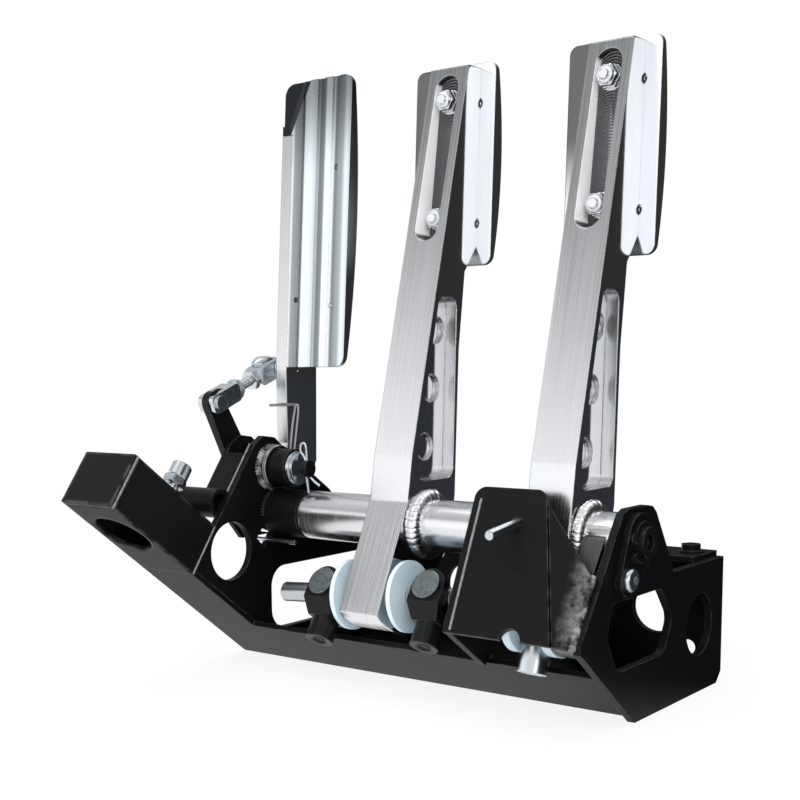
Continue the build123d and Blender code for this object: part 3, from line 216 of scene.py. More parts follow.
# Weld beads where the frame's sheets and bosses meet, coated black with the rest of the frame.
# Each is a row of overlapping solidified puddles; handling has scuffed the proud ones back to bare steel.
def plain_finish(name, colour, roughness, metallic=0.0, edge_radius=0.0, others=None):
    made, tree, face = new_material(name)
    dressed(tree, face, {"Base Color": colour, "Metallic": metallic, "Roughness": roughness})
    if edge_radius:
        dressed(tree, face, {"Normal": edge_wear_and_highlight(tree, edge_radius)["Normal"]})
    dressed(tree, face, others or {})
    return made


scuffed, scuffed_tree, scuffed_face = new_material("scuffed_weld")
scuffed_share = faded(scuffed_tree, mottled(scuffed_tree, 190.0, 5.0), 0.44, 0.68)
scuffed_tone = toned(scuffed_tree, scuffed_share, (0.012, 0.012, 0.013), (0.30, 0.30, 0.31))
dressed(scuffed_tree, scuffed_face, {"Base Color": scuffed_tone, "Roughness": 0.42})

rubbed, rubbed_tree, rubbed_face = new_material("rubbed_seam")
rubbed_tone = toned(rubbed_tree, mottled(rubbed_tree, 420.0, 3.0), (0.02, 0.02, 0.021), (0.34, 0.34, 0.35))
dressed(rubbed_tree, rubbed_face, {"Base Color": rubbed_tone, "Roughness": 0.5})

painted = plain_finish("black_weld_and_slit_shade", (0.007, 0.007, 0.008), 0.36, others={"Specular IOR Level": 0.4})


def growing_tree(name, inputs):
    tree = bpy.data.node_groups.new(name, "GeometryNodeTree")
    tree.interface.new_socket("Geometry", in_out="INPUT", socket_type="NodeSocketGeometry")
    tree.interface.new_socket("Geometry", in_out="OUTPUT", socket_type="NodeSocketGeometry")
    for label, kind in inputs:
        tree.interface.new_socket(label, in_out="INPUT", socket_type=kind)
    return tree, tree.nodes.new("NodeGroupInput").outputs


def skinned(tree, geometry, material):
    real = fitted(tree, "GeometryNodeRealizeInstances", {"Geometry": geometry})
    smooth = fitted(tree, "GeometryNodeSetShadeSmooth", {"Geometry": real.outputs["Geometry"]})
    skin_terms = {"Geometry": smooth.outputs["Geometry"], "Material": material}
    skin = fitted(tree, "GeometryNodeSetMaterial", skin_terms)
    fitted(tree, "NodeGroupOutput", {"Geometry": skin.outputs["Geometry"]})


bead_tree, bead_in = growing_tree(
    "bead_run",
    [
        ("Pitch", "NodeSocketFloat"), ("Radius", "NodeSocketFloat"), ("Flat", "NodeSocketVector"),
        ("Lean", "NodeSocketVector"), ("Material", "NodeSocketMaterial"),
    ],
)
bead_line = fitted(bead_tree, "GeometryNodeMeshToCurve", {"Mesh": bead_in["Geometry"]})
bead_step_terms = {"Curve": bead_line.outputs["Curve"], "Length": bead_in["Pitch"]}
bead_steps = fitted(bead_tree, "GeometryNodeResampleCurve", bead_step_terms, mode="LENGTH")
bead_ball_terms = {"Segments": 18, "Rings": 10, "Radius": bead_in["Radius"]}
bead_ball = fitted(bead_tree, "GeometryNodeMeshUVSphere", bead_ball_terms)
bead_press_terms = {"Geometry": bead_ball.outputs["Mesh"], "Scale": bead_in["Flat"]}
bead_press = fitted(bead_tree, "GeometryNodeTransform", bead_press_terms)
bead_tilt_terms = {"Geometry": bead_press.outputs["Geometry"], "Rotation": bead_in["Lean"]}
bead_tilt = fitted(bead_tree, "GeometryNodeTransform", bead_tilt_terms)
bead_tangent = bead_tree.nodes.new("GeometryNodeInputTangent")
bead_side = fitted(
    bead_tree, "GeometryNodeInputNamedAttribute", {"Name": "outward"}, data_type="FLOAT_VECTOR"
)
bead_along_terms = {"Vector": bead_tangent.outputs["Tangent"]}
bead_along = fitted(bead_tree, "FunctionNodeAlignRotationToVector", bead_along_terms, axis="Z")
bead_facing = fitted(
    bead_tree, "FunctionNodeAlignRotationToVector",
    {"Rotation": bead_along.outputs["Rotation"], "Vector": bead_side.outputs["Attribute"]},
    axis="Y", pivot_axis="Z",
)
bead_sizes = fitted(bead_tree, "FunctionNodeRandomValue", {2: 0.9, 3: 1.08}, data_type="FLOAT")
bead_place = fitted(
    bead_tree, "GeometryNodeInstanceOnPoints",
    {
        "Points": bead_steps.outputs["Curve"], "Instance": bead_tilt.outputs["Geometry"],
        "Rotation": bead_facing.outputs["Rotation"], "Scale": bead_sizes.outputs[1],
    },
)
skinned(bead_tree, bead_place.outputs["Instances"], bead_in["Material"])


def placed(name, data):
    made = bpy.data.objects.new(name, data)
    bpy.context.scene.collection.objects.link(made)
    return made


def hardened(shaped):
    bpy.context.view_layer.update()
    finished = shaped.evaluated_get(bpy.context.evaluated_depsgraph_get())
    return bpy.data.meshes.new_from_object(finished)


def grown(name, base, tree, values):
    holder = placed(name, base)
    modifier = holder.modifiers.new("grow", "NODES")
    modifier.node_group = tree
    for item in tree.interface.items_tree:
        if item.item_type == "SOCKET" and item.in_out == "INPUT" and item.name in values:
            modifier[item.identifier] = values[item.name]
    plain = hardened(holder)
    holder.modifiers.remove(modifier)
    holder.data = plain
    bpy.data.meshes.remove(base)
    return holder


def bead_run(name, points, outward, pitch, radius, flat, lean, material, body, closed=False):
    base = bpy.data.meshes.new(name + "_line")
    count = len(points)
    edges = [(i, i + 1) for i in range(count - 1)]
    if closed:
        edges.append((count - 1, 0))
    base.from_pydata(points, edges, [])
    facing = base.attributes.new("outward", "FLOAT_VECTOR", "POINT")
    for item, value in zip(facing.data, outward):
        item.vector = value
    values = {
        "Pitch": pitch, "Radius": radius, "Flat": (1.0, 1.0, flat), "Lean": (lean, 0.0, 0.0),
        "Material": material,
    }
    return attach(grown(name, base, bead_tree, values), body)


def ring_points(x, centre_y, centre_z, radius, count=48):
    turns = [2 * math.pi * i / count for i in range(count)]
    return [(x, centre_y + radius * math.cos(t), centre_z + radius * math.sin(t)) for t in turns]


def ring_facing(tip, count=48):
    return ring_points(tip, 0.0, 0.0, 0.7, count)


pivot_y, pivot_z = -0.060, 0.092
boss_foot = -0.1155
upper_half = slice(25)
bead_run(
    "shaft_boss_weld", ring_points(boss_foot, pivot_y, pivot_z, 0.0145)[upper_half],
    ring_facing(0.7)[upper_half], pitch=0.0016, radius=0.0019, flat=0.5, lean=0.5, material=painted,
    body="frame",
)
bead_run(
    "throttle_boss_weld", ring_points(boss_foot, pivot_y - 0.006, pivot_z + 0.0275, 0.0115),
    ring_facing(0.7), pitch=0.0017, radius=0.0026, flat=0.5, lean=0.5, material=scuffed, body="frame",
    closed=True,
)


def toe_point(x, down, out):
    return Vector((x, -49.3 + 0.8 * down + 0.6 * out, -0.6 * down + 0.8 * out)) / 1000


def frame_point(x, y, z):
    return Vector((x, y, z)) / 1000


def seam(name, start, end, outward, radius, material):
    return bead_run(
        name, [start, end], [outward, outward], pitch=radius * 0.6, radius=radius, flat=0.8, lean=0.3,
        material=material, body="frame",
    )


seam(
    "strut_cap_seam", toe_point(-116.3, -178.4, 0.6), toe_point(-116.3, -178.4, 31.4),
    (0.7, -0.56, 0.42), 0.0009, rubbed,
)
seam(
    "strut_top_seam", toe_point(-117, -178.4, 31.7), toe_point(-154, -178.4, 31.7),
    (0, -0.2, 0.98), 0.0010, painted,
)
seam(
    "strut_plate_seam", toe_point(-116.2, -106, 1), toe_point(-116.2, -106, 31),
    (1, 0, 0), 0.0007, rubbed,
)
seam(
    "bridge_seam", frame_point(-119.8, -99.8, 107.7), frame_point(-119.8, -80.2, 133.4),
    (0.3, -0.75, 0.6), 0.0006, rubbed,
)
seam(
    "cheek_seam", frame_point(111.8, -97.2, 78.5), frame_point(111.8, -116.7, 47.5),
    (-0.6, -0.7, 0.3), 0.0019, scuffed,
)
seam(
    "cheek_fold", frame_point(83.5, -88.6, 109.8), frame_point(101.8, -117.8, 47.5),
    (0.35, -0.85, 0.35), 0.0005, rubbed,
)
seam(
    "web_plate_seam", frame_point(46.2, -119.5, 50.0), frame_point(46.2, -90.7, 111.7),
    (-0.4, -0.8, 0.4), 0.0007, rubbed,
)
seam(
    "end_toe_seam", toe_point(111.6, -1, 3.3), toe_point(111.6, -43, 3.3),
    (-0.7, 0.4, 0.6), 0.0016, painted,
)
seam(
    "inner_toe_seam", toe_point(46.2, -1, 3.3), toe_point(46.2, -43, 3.3),
    (0.7, 0.4, 0.6), 0.0016, painted,
)


# The pivot shaft and the small steel pieces on it and on the frame. Pins, screws and nuts are zinc
# plated, the trunnions are faced on the lathe, and the balance bar and the bearings are ground.
# The shaft, its clip, the flange bolts, the black forks and the throttle lever have a thin black oxide.
zinc, zinc_tree, zinc_face = new_material("bright_zinc")
zinc_tone = toned(zinc_tree, mottled(zinc_tree, 90.0, 4.0), (0.56, 0.61, 0.66), (0.74, 0.77, 0.79))
dressed(zinc_tree, zinc_face, {"Base Color": zinc_tone, "Metallic": 1.0, "Roughness": 0.24})
dressed(zinc_tree, zinc_face, {"Normal": edge_wear_and_highlight(zinc_tree, 0.0004)["Normal"]})
paint(
    zinc,
    [
        "stop_pin", "keeper_screw", "lock_rod", "throttle_stop_nut", "clutch_pin", "clutch_clevis",
        "throttle_washers", "split_pin", "link_rod", "link_nuts", "link_forks", "lever_pin", "arm_pin",
        "brake_pad_bolts", "clutch_pad_bolts", "brake_pad_nuts", "clutch_pad_nuts",
    ],
)

faced, faced_tree, faced_face = new_material("faced_steel")
faced_edge = edge_wear_and_highlight(faced_tree, 0.0006)
faced_rings = toned(faced_tree, mottled(faced_tree, 520.0, 3.0), (0.05, 0.065, 0.07), (0.36, 0.40, 0.41))
# The near-white edge colour is partly bare turned steel and partly a painted highlight.
faced_tone = toned(faced_tree, faced_edge["Mask"], faced_rings, (0.86, 0.89, 0.90))
dressed(faced_tree, faced_face, {"Base Color": faced_tone, "Metallic": 1.0, "Roughness": 0.36})
dressed(faced_tree, faced_face, {"Normal": faced_edge["Normal"]})
paint(faced, ["barrel_left", "barrel_right"])

ground = plain_finish("ground_steel", (0.55, 0.56, 0.58), 0.3, metallic=1.0, edge_radius=0.0004)
paint(ground, ["balance_bar", "bar_ball", "bearing_race", "brake_bushes", "clutch_bushes"])

oxide, oxide_tree, oxide_face = new_material("black_oxide")
oxide_edge = edge_wear_and_highlight(oxide_tree, 0.0005)
# The pale edges here too are partly wear and partly a painted highlight.
oxide_tone = toned(oxide_tree, oxide_edge["Mask"], (0.0045, 0.0045, 0.005), bare_steel_and_edge_highlight)
dressed(oxide_tree, oxide_face, {"Base Color": oxide_tone, "Roughness": 0.30, "Specular IOR Level": 0.2})
dressed(oxide_tree, oxide_face, {"Normal": oxide_edge["Normal"]})
paint(
    oxide,
    [
        "pivot_shaft", "shaft_circlip", "flange_bolts", "throttle_stop", "throttle_pin", "clevis_left",
        "clevis_right", "throttle_lever", "return_spring",
    ],
)

sharp_turn = math.radians(28)


def skin(name, points, faces, material, smooth=True):
    mesh = bpy.data.meshes.new(name)
    mesh.from_pydata(points, [], faces)
    if smooth:
        mesh.polygons.foreach_set("use_smooth", [True] * len(mesh.polygons))
        mesh.set_sharp_from_angle(angle=sharp_turn)
    mesh.materials.append(material)
    return placed(name, mesh)


def turned_piece(name, origin, axis, profile, material, body, flats=0.0, segments=48):
    axis = Vector(axis).normalized()
    across = axis.cross(Vector((0, 0, 1)) if abs(axis.z) < 0.9 else Vector((1, 0, 0))).normalized()
    upward = axis.cross(across)
    steps = 72 if flats else segments
    points = []
    for along, radius in profile:
        for i in range(steps):
            turn = 2 * math.pi * i / steps
            reach = radius
            if flats:
                reach = min(radius, flats / math.cos((turn % (math.pi / 3)) - math.pi / 6))
            spoke = across * math.cos(turn) + upward * math.sin(turn)
            points.append(Vector(origin) + axis * along + spoke * reach)
    faces = []
    for row in range(len(profile) - 1):
        for i in range(steps):
            a, b = row * steps + i, row * steps + (i + 1) % steps
            faces.append((a, b, b + steps, a + steps))
    faces.append(tuple(reversed(range(steps))))
    faces.append(tuple(range((len(profile) - 1) * steps, len(profile) * steps)))
    made = skin(name, points, faces, material)
    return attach(made, body)


def hex_profile(start, end, corner, chamfer=0.0006):
    rounding = [(0.0, 1.8), (0.5, 0.8), (1.0, 0.0)]
    front = [(start + chamfer * inward, corner - chamfer * drop) for inward, drop in rounding]
    back = [(end - chamfer * inward, corner - chamfer * drop) for inward, drop in reversed(rounding)]
    return front + back


thread_tree, thread_in = growing_tree(
    "thread_run",
    [
        ("Turns", "NodeSocketFloat"), ("Radius", "NodeSocketFloat"), ("Length", "NodeSocketFloat"),
        ("Ridge", "NodeSocketFloat"), ("Material", "NodeSocketMaterial"),
    ],
)
thread_helix = fitted(
    thread_tree, "GeometryNodeCurveSpiral",
    {
        "Resolution": 24, "Rotations": thread_in["Turns"], "Start Radius": thread_in["Radius"],
        "End Radius": thread_in["Radius"], "Height": thread_in["Length"],
    },
)
thread_shape = fitted(
    thread_tree, "GeometryNodeCurvePrimitiveCircle", {"Resolution": 6, "Radius": thread_in["Ridge"]}
)
thread_sweep = fitted(
    thread_tree, "GeometryNodeCurveToMesh",
    {"Curve": thread_helix.outputs["Curve"], "Profile Curve": thread_shape.outputs["Curve"]},
)
skinned(thread_tree, thread_sweep.outputs["Mesh"], thread_in["Material"])


def thread_run(name, origin, axis, radius, length, pitch, material, body):
    values = {
        "Turns": length / pitch, "Radius": radius, "Length": length, "Ridge": pitch * 0.42,
        "Material": material,
    }
    made = grown(name, bpy.data.meshes.new(name + "_seed"), thread_tree, values)
    turn = Vector(axis).to_track_quat("Z", "Y").to_matrix().to_4x4()
    turn.translation = Vector(origin)
    made.data.transform(turn)
    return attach(made, body)


# The two stops: a slotted spring pin in zinc for the clutch, a little tilted in its bracket, and for the
# accelerator a screw in the top of the strut, with a zinc hexagon and cap over a black lock nut.
pin_way = Vector((0, -0.993, -0.118))
pin_foot = Vector((0.0695, -0.087, 0.1025))
stop = turned_piece(
    "clutch_stop_pin", pin_foot, pin_way,
    [(0.0, 0.0027), (0.0335, 0.0027), (0.0345, 0.0023), (0.0349, 0.0016)], zinc, "frame",
)
# The slit along the pin is a thin black rod: painted shade inside the slit.
turned_piece(
    "clutch_stop_slit_shade", pin_foot + Vector((0.00235, 0, 0.0012)), pin_way,
    [(0.004, 0.0005), (0.0342, 0.0005)], painted, "frame", segments=10,
)
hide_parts("stop_pin")
toe_normal = Vector((0, 0.6, 0.8))
stop_foot = toe_point(-135.5, -131, 0)
stop_nut = turned_piece(
    "stop_lock_nut", stop_foot, toe_normal, hex_profile(0.032, 0.0385, 0.0080), oxide, "frame",
    flats=0.0068,
)
turned_piece(
    "stop_screw_hex", stop_foot, toe_normal, hex_profile(0.0425, 0.0475, 0.0070), zinc, "frame",
    flats=0.0061,
)
stop_cap = turned_piece(
    "stop_screw_cap", stop_foot, toe_normal,
    [
        (0.030, 0.0038), (0.0475, 0.0038), (0.0475, 0.0060), (0.0480, 0.0063), (0.0552, 0.0063),
        (0.0560, 0.0056),
    ],
    zinc, "frame",
)
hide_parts("throttle_stop_nut")
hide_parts("throttle_stop")


# The pedal levers and their hub tubes: 25 mm aluminium bar milled to shape, with polished sides and a
# brushed front. Painted shade darkens the front towards the pads; the slot walls are a painted reflection,
# white and matt.
# The hubs are tube, turned on the lathe.
brush_group, brush_in = new_group(
    "brushed_grain",
    [
        ("Stretch", "NodeSocketVector", (900.0, 900.0, 12.0)),
        ("Height", "NodeSocketFloat", 0.00003),
        ("Normal", "NodeSocketVector", None),
    ],
    [("Streak", "NodeSocketFloat"), ("Normal", "NodeSocketVector")],
)
brush_terms = {0: on_piece(brush_group), 1: brush_in["Stretch"]}
brush_long = fitted(brush_group, "ShaderNodeVectorMath", brush_terms, operation="MULTIPLY")
brush_noise_terms = {"Vector": brush_long.outputs["Vector"], "Scale": 1.0, "Detail": 3.0}
brush_streak = fitted(brush_group, "ShaderNodeTexNoise", brush_noise_terms).outputs["Fac"]
brush_bump_terms = {"Height": brush_streak, "Distance": brush_in["Height"], "Normal": brush_in["Normal"]}
brush_bump = fitted(brush_group, "ShaderNodeBump", brush_bump_terms)
fitted(brush_group, "NodeGroupOutput", {"Streak": brush_streak, "Normal": brush_bump.outputs["Normal"]})


def aluminium(name, stretch, height, dark, light, rough_low, rough_high):
    made, tree, face = new_material(name)
    terms = {"Stretch": stretch, "Height": height, "Normal": edge_wear_and_highlight(tree, 0.0012)["Normal"]}
    brushed = fitted(tree, "ShaderNodeGroup", terms, node_tree=brush_group)
    streak = brushed.outputs["Streak"]
    rough = faded(tree, streak, 0.3, 0.7, rough_low, rough_high)
    dressed(tree, face, {"Base Color": toned(tree, streak, dark, light), "Metallic": 1.0})
    dressed(tree, face, {"Roughness": rough, "Normal": brushed.outputs["Normal"]})
    return made


def dimmed(tree, colour, level):
    terms = {0: colour, "Scale": level}
    return fitted(tree, "ShaderNodeVectorMath", terms, operation="SCALE").outputs["Vector"]


brake_x, clutch_x = -0.020, 0.078
half_spacing = (clutch_x - brake_x) / 2
slot_half_width = 0.009
slot_foot = 0.232
lever_right_side = 0.0908
hidden_arm_top = 0.100
shade_foot, shade_top = 0.12, 0.34
bar_stock = aluminium(
    "brushed_bar", stretch=(1500.0, 25.0, 9.0), height=0.000007, dark=(0.58, 0.59, 0.61),
    light=(0.96, 0.97, 0.98), rough_low=0.20, rough_high=0.34,
)
bar_tree = bar_stock.node_tree
bar_facing = bar_tree.nodes.new("ShaderNodeNewGeometry").outputs["Normal"]
bar_side = faded(bar_tree, axes_of(bar_tree, bar_facing)["X"], 0.85, 0.95)
bar_axes = axes_of(bar_tree, on_piece(bar_tree))
bar_shift = reckoned(bar_tree, "ADD", bar_axes["X"], -brake_x)
bar_middle = reckoned(bar_tree, "PINGPONG", bar_shift, half_spacing)
bar_slot = reckoned(bar_tree, "LESS_THAN", bar_middle, slot_half_width)
bar_high = reckoned(bar_tree, "GREATER_THAN", bar_axes["Z"], slot_foot)
bar_inside = reckoned(bar_tree, "MULTIPLY", bar_slot, bar_high)
bar_wall = reckoned(bar_tree, "MULTIPLY", bar_side, bar_inside)
bar_polish = faded(bar_tree, bar_inside, 0.0, 1.0, 0.07, 0.60)
bar_rough_terms = {0: bar_side, 2: already(bar_tree, "Roughness"), 3: bar_polish}
bar_rough = fitted(bar_tree, "ShaderNodeMix", bar_rough_terms).outputs[0]
# Painted shade: the fronts darken towards the top, to about half at the pads; the polished sides stay
# bright.
bar_end = faded(bar_tree, bar_side, 0.0, 1.0, 0.48, 1.0)
bar_top_shade = faded(bar_tree, bar_axes["Z"], shade_foot, shade_top, 1.0, bar_end)
# Painted shade: the lower arm right of the clutch lever, between the cheek and the end plate, is darkened
# to an eighth.
bar_far = reckoned(bar_tree, "GREATER_THAN", bar_axes["X"], lever_right_side)
bar_low = reckoned(bar_tree, "LESS_THAN", bar_axes["Z"], hidden_arm_top)
bar_arm_shade = faded(bar_tree, reckoned(bar_tree, "MULTIPLY", bar_far, bar_low), 0.0, 1.0, 1.0, 0.12)
bar_level = reckoned(bar_tree, "MULTIPLY", bar_arm_shade, bar_top_shade)
bar_metal = dimmed(bar_tree, already(bar_tree, "Base Color"), bar_level)
# The slot walls get a white non-metal colour instead of aluminium: a painted reflection of the bright light
# they mirror.
dressed(
    bar_tree, bar_tree.nodes["Principled BSDF"],
    {
        "Base Color": toned(bar_tree, bar_wall, bar_metal, (1.0, 1.0, 1.0)),
        "Metallic": faded(bar_tree, bar_wall, 0.0, 1.0, 1.0, 0.0),
        "Roughness": bar_rough,
    },
)
turned = aluminium(
    "turned_tube", stretch=(1700.0, 7.0, 7.0), height=0.000004, dark=(0.70, 0.71, 0.72),
    light=(0.84, 0.85, 0.86), rough_low=0.18, rough_high=0.28,
)
paint(bar_stock, ["brake_lever", "clutch_lever", "accel_arm"])
paint(turned, ["brake_hub", "clutch_hub"])


# Weld rings between the hub tubes and the levers, left as welded in bright aluminium.
# Each ring is a run of overlapping round puddles that leave fine crescent ripples.
bead = plain_finish("weld_bead", (0.84, 0.85, 0.86), 0.26, metallic=1.0)
weld_count = 96
for weld_name, weld_x, weld_way, weld_body in (
    ("brake_left", -0.0325, -1, "brake_pedal"), ("brake_right", -0.0075, 1, "brake_pedal"),
    ("clutch_left", 0.0655, -1, "clutch_pedal"), ("clutch_right", 0.0905, 1, "clutch_pedal"),
):
    hub_weld = bead_run(
        weld_name + "_hub_weld",
        ring_points(weld_x + weld_way * 0.0004, pivot_y, pivot_z, 0.0146, weld_count),
        ring_facing(weld_way * 0.7, weld_count), pitch=0.0012, radius=0.0050, flat=0.74, lean=0.45,
        material=bead, body=weld_body, closed=True,
    )
    if weld_way < 0:
        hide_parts(weld_body.split("_")[0] + "_hub_welds")


# The clutch lever: its ring is slimmer than the bar on the outer side, beside the hub tube.
# There the milled boss is turned down to just under the tube's radius.
boss_face = 0.0907
boss_underside = -0.0125
boss_inner, boss_outer = 0.0145, 0.0235
slim_radius = 0.0138
slim_points = []
slim_place = nodes["clutch_lever"].matrix_world
for vertex in nodes["clutch_lever"].data.vertices:
    spot = slim_place @ vertex.co
    radial = Vector((0, spot.y - pivot_y, spot.z - pivot_z))
    if spot.x > boss_face and radial.z > boss_underside and boss_inner < radial.length < boss_outer:
        spot = Vector((spot.x, pivot_y, pivot_z)) + radial.normalized() * slim_radius
    slim_points.append(spot)
slim_faces = [tuple(face.vertices) for face in nodes["clutch_lever"].data.polygons]
slim = skin("clutch_lever_slim", slim_points, slim_faces, bar_stock)
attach(slim, "clutch_pedal")
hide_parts("clutch_lever")


# The foot pads: solid aluminium, flat where they bolt on and curved towards the foot.
# Their milled faces are smoother than the levers and look nearly white under a soft light; only the
# strip left of each lever's upper end lies in shade.
milled = aluminium(
    "milled_pad", stretch=(500.0, 500.0, 5.0), height=0.0000015, dark=(0.80, 0.83, 0.86),
    light=(0.90, 0.91, 0.93), rough_low=0.14, rough_high=0.22,
)
milled_tree = milled.node_tree
milled_axes = axes_of(milled_tree, on_piece(milled_tree))
milled_span = (brake_x + half_spacing, brake_x - half_spacing)
milled_across = reckoned(milled_tree, "WRAP", milled_axes["X"], *milled_span)
milled_left = faded(milled_tree, milled_across, -0.0310, -0.0330)
milled_high = faded(milled_tree, milled_axes["Z"], 0.25, 0.30, ease="SMOOTHSTEP")
milled_strip = reckoned(milled_tree, "MULTIPLY", milled_left, milled_high)
milled_tone = toned(milled_tree, milled_strip, already(milled_tree, "Base Color"), (0.13, 0.13, 0.135))
dressed(milled_tree, milled_tree.nodes["Principled BSDF"], {"Base Color": milled_tone})
paint(milled, ["brake_pad", "clutch_pad"])


# The accelerator pad: solid aluminium with shallow flutes milled down its back; their light and dark bands
# are painted highlight and painted shade. Painted shade darkens it towards the top, and a slanting bevel
# cuts its upper left corner, coloured nearly black as painted shade.
fluted, fluted_tree, fluted_face = new_material("fluted_pad")
fluted_place = on_piece(fluted_tree)
fluted_axes = axes_of(fluted_tree, fluted_place)
fluted_across = faded(fluted_tree, fluted_axes["X"], -0.1215, -0.0780)
# Painted highlight and painted shade: light and dark bands across the pad that stand in for the flutes'
# lighting.
fluted_painted_bands = fitted(fluted_tree, "ShaderNodeValToRGB", {"Fac": fluted_across})
fluted_painted_bands.color_ramp.elements[0].color = (0.90, 0.91, 0.92, 1)
fluted_painted_bands.color_ramp.elements[1].color = (0.62, 0.66, 0.70, 1)
for across, tone in (
    (0.05, 0.34), (0.17, 0.24), (0.21, 0.80), (0.30, 0.92), (0.44, 0.62), (0.47, 0.20), (0.56, 0.28),
    (0.59, 0.96), (0.70, 0.90), (0.74, 0.22), (0.88, 0.42), (0.93, 0.84),
):
    fluted_painted_bands.color_ramp.elements.new(across).color = (tone * 0.90, tone * 0.97, tone, 1)
# Painted shade: the pad darkens towards its top, to under a third.
fluted_top_shade = faded(fluted_tree, fluted_axes["Z"], 0.345, 0.285, 0.30, 1.0, "SMOOTHSTEP")
fluted_tone = dimmed(fluted_tree, fluted_painted_bands.outputs["Color"], fluted_top_shade)
# Painted shade: the bevel left of this slanting line is coloured nearly black.
facet_reach = measured_along(fluted_tree, fluted_place, (0.9127, 0, -0.4087))
facet_painted_shade = faded(fluted_tree, facet_reach, -0.24155, -0.24075)
dressed(
    fluted_tree, fluted_face,
    {
        "Base Color": toned(fluted_tree, facet_painted_shade, (0.02, 0.021, 0.024), fluted_tone),
        "Metallic": 1.0,
        "Roughness": 0.22,
        "Normal": edge_wear_and_highlight(fluted_tree, 0.0006)["Normal"],
    },
)
paint(fluted, ["accel_pad"])


# Bolts and lock nuts that clamp each pad in its lever's slot, with a plain washer under each nut.
# The nuts are polished hexagons with a pale locking ring; a thin pin sits in each small pad hole.
lock_ring = plain_finish("locking_ring", (0.62, 0.66, 0.70), 0.4)
plated = plain_finish("polished_nut", (0.70, 0.71, 0.73), 0.10, metallic=1.0, edge_radius=0.0004)
pad_normal = Vector((0, -0.99863, 0.05234))
pad_places = (("brake", brake_x * 1000), ("clutch", clutch_x * 1000))
nut_seats = (("low", 24.0, 16.6), ("high", 89.0, 10.3))
pin_heights = (("low", 23.0), ("high", 89.0))
pin_right = 10.2


def pad_point(x, up, out):
    return Vector((x, -11.9 + 0.05234 * up - 0.99863 * out, 234 + 0.99863 * up + 0.05234 * out)) / 1000


for pad_name, pad_x in pad_places:
    body = pad_name + "_pedal"
    for spot, up, seat in nut_seats:
        label = f"{pad_name}_{spot}"
        foot = pad_point(pad_x, up, seat)
        washer = turned_piece(
            label + "_washer", foot, pad_normal,
            [(0.0, 0.0064), (0.0002, 0.0067), (0.0011, 0.0067), (0.0013, 0.0064)], plated, body,
        )
        for part, finish, flats, profile in (
            ("_jam_nut", plated, 0.0056, hex_profile(0.0013, 0.0042, 0.0066)),
            ("_nut", plated, 0.0052, hex_profile(0.0043, 0.0078, 0.0062)),
            (
                "_collar", plated, 0.0,
                [(0.0076, 0.0049), (0.0088, 0.0049), (0.0094, 0.0044), (0.0094, 0.0042), (0.0091, 0.0040)],
            ),
            ("_ring", lock_ring, 0.0, [(0.0080, 0.0040), (0.0092, 0.0039)]),
            ("_bolt_end", plated, 0.0, [(-0.0080, 0.0028), (0.0102, 0.0028), (0.0108, 0.0023)]),
        ):
            turned_piece(label + part, foot, pad_normal, profile, finish, body, flats)
        thread_run(
            label + "_thread", foot + pad_normal * 0.0088, pad_normal, radius=0.0028, length=0.0016,
            pitch=0.0006, material=plated, body=body,
        )
        if spot == "low":
            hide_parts(pad_name + "_pad_nuts")
    for spot, up in pin_heights:
        turned_piece(
            f"{pad_name}_{spot}_pin", pad_point(pad_x + pin_right, up, 0), pad_normal,
            [(-0.006, 0.0024), (-0.0008, 0.0024), (-0.0003, 0.0019)], zinc, body,
        )


# The beds of the two pad slots, cut with the round end of a milling cutter that left curved steps.
# Each is a long pocket with round ends; its floor slopes back a little towards the top.
bed_shaded_metal, bed_tree, bed_face = new_material("end_milled_slot")
bed_axes = axes_of(bed_tree, on_piece(bed_tree))
bed_shift = reckoned(bed_tree, "ADD", bed_axes["X"], -brake_x)
bed_across = reckoned(bed_tree, "PINGPONG", bed_shift, half_spacing)
bed_square = reckoned(bed_tree, "MULTIPLY", bed_across, bed_across)
bed_curve = reckoned(bed_tree, "MULTIPLY_ADD", bed_square, 70.0, bed_axes["Z"])
bed_ridges = reckoned(bed_tree, "PINGPONG", bed_curve, 0.0008)
bed_bump = fitted(bed_tree, "ShaderNodeBump", {"Distance": 0.5, "Height": bed_ridges})
# The bed is coloured nearly black, far darker than the bar around it: painted shade in the recessed pocket.
dressed(bed_tree, bed_face, {"Base Color": (0.12, 0.125, 0.13), "Metallic": 1.0, "Roughness": 0.22})
dressed(bed_tree, bed_face, {"Normal": bed_bump.outputs["Normal"]})
bed_middle, bed_reach, bed_radius = 57.0, 38.6, 7.4
bed_seat, bed_low = 16.6, 24.0
bed_slope = 0.097
bed_depth = 0.012
bed_arc_steps = 12
for pad_name, pad_x in pad_places:
    body = pad_name + "_pedal"
    bed_points = []
    for half in (-1, 1):
        for i in range(bed_arc_steps + 1):
            turn = math.pi * i / bed_arc_steps
            up = bed_middle + half * (bed_reach + bed_radius * math.sin(turn))
            across = half * bed_radius * math.cos(turn)
            bed_points.append(pad_point(pad_x + across, up, bed_seat + (bed_low - up) * bed_slope))
    count = len(bed_points)
    bed_points += [point - pad_normal * bed_depth for point in bed_points]
    bed_walls = [(i, i + count, (i + 1) % count + count, (i + 1) % count) for i in range(count)]
    bed = skin(
        pad_name + "_slot_bed", bed_points, [tuple(range(count))] + bed_walls, bed_shaded_metal, smooth=False
    )
    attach(bed, body)


# The large washers beside the balance bar's bearing and on the clutch's stub pin, turned from pale
# nylon. They keep the steel forks and trunnions from scraping the levers as they swing.
nylon = plain_finish(
    "pale_nylon", (0.60, 0.73, 0.80), 0.32, edge_radius=0.0006,
    others={"Subsurface Weight": 0.2, "Subsurface Radius": (0.003, 0.003, 0.004)},
)
paint(nylon, ["bar_washers", "clutch_washers"])


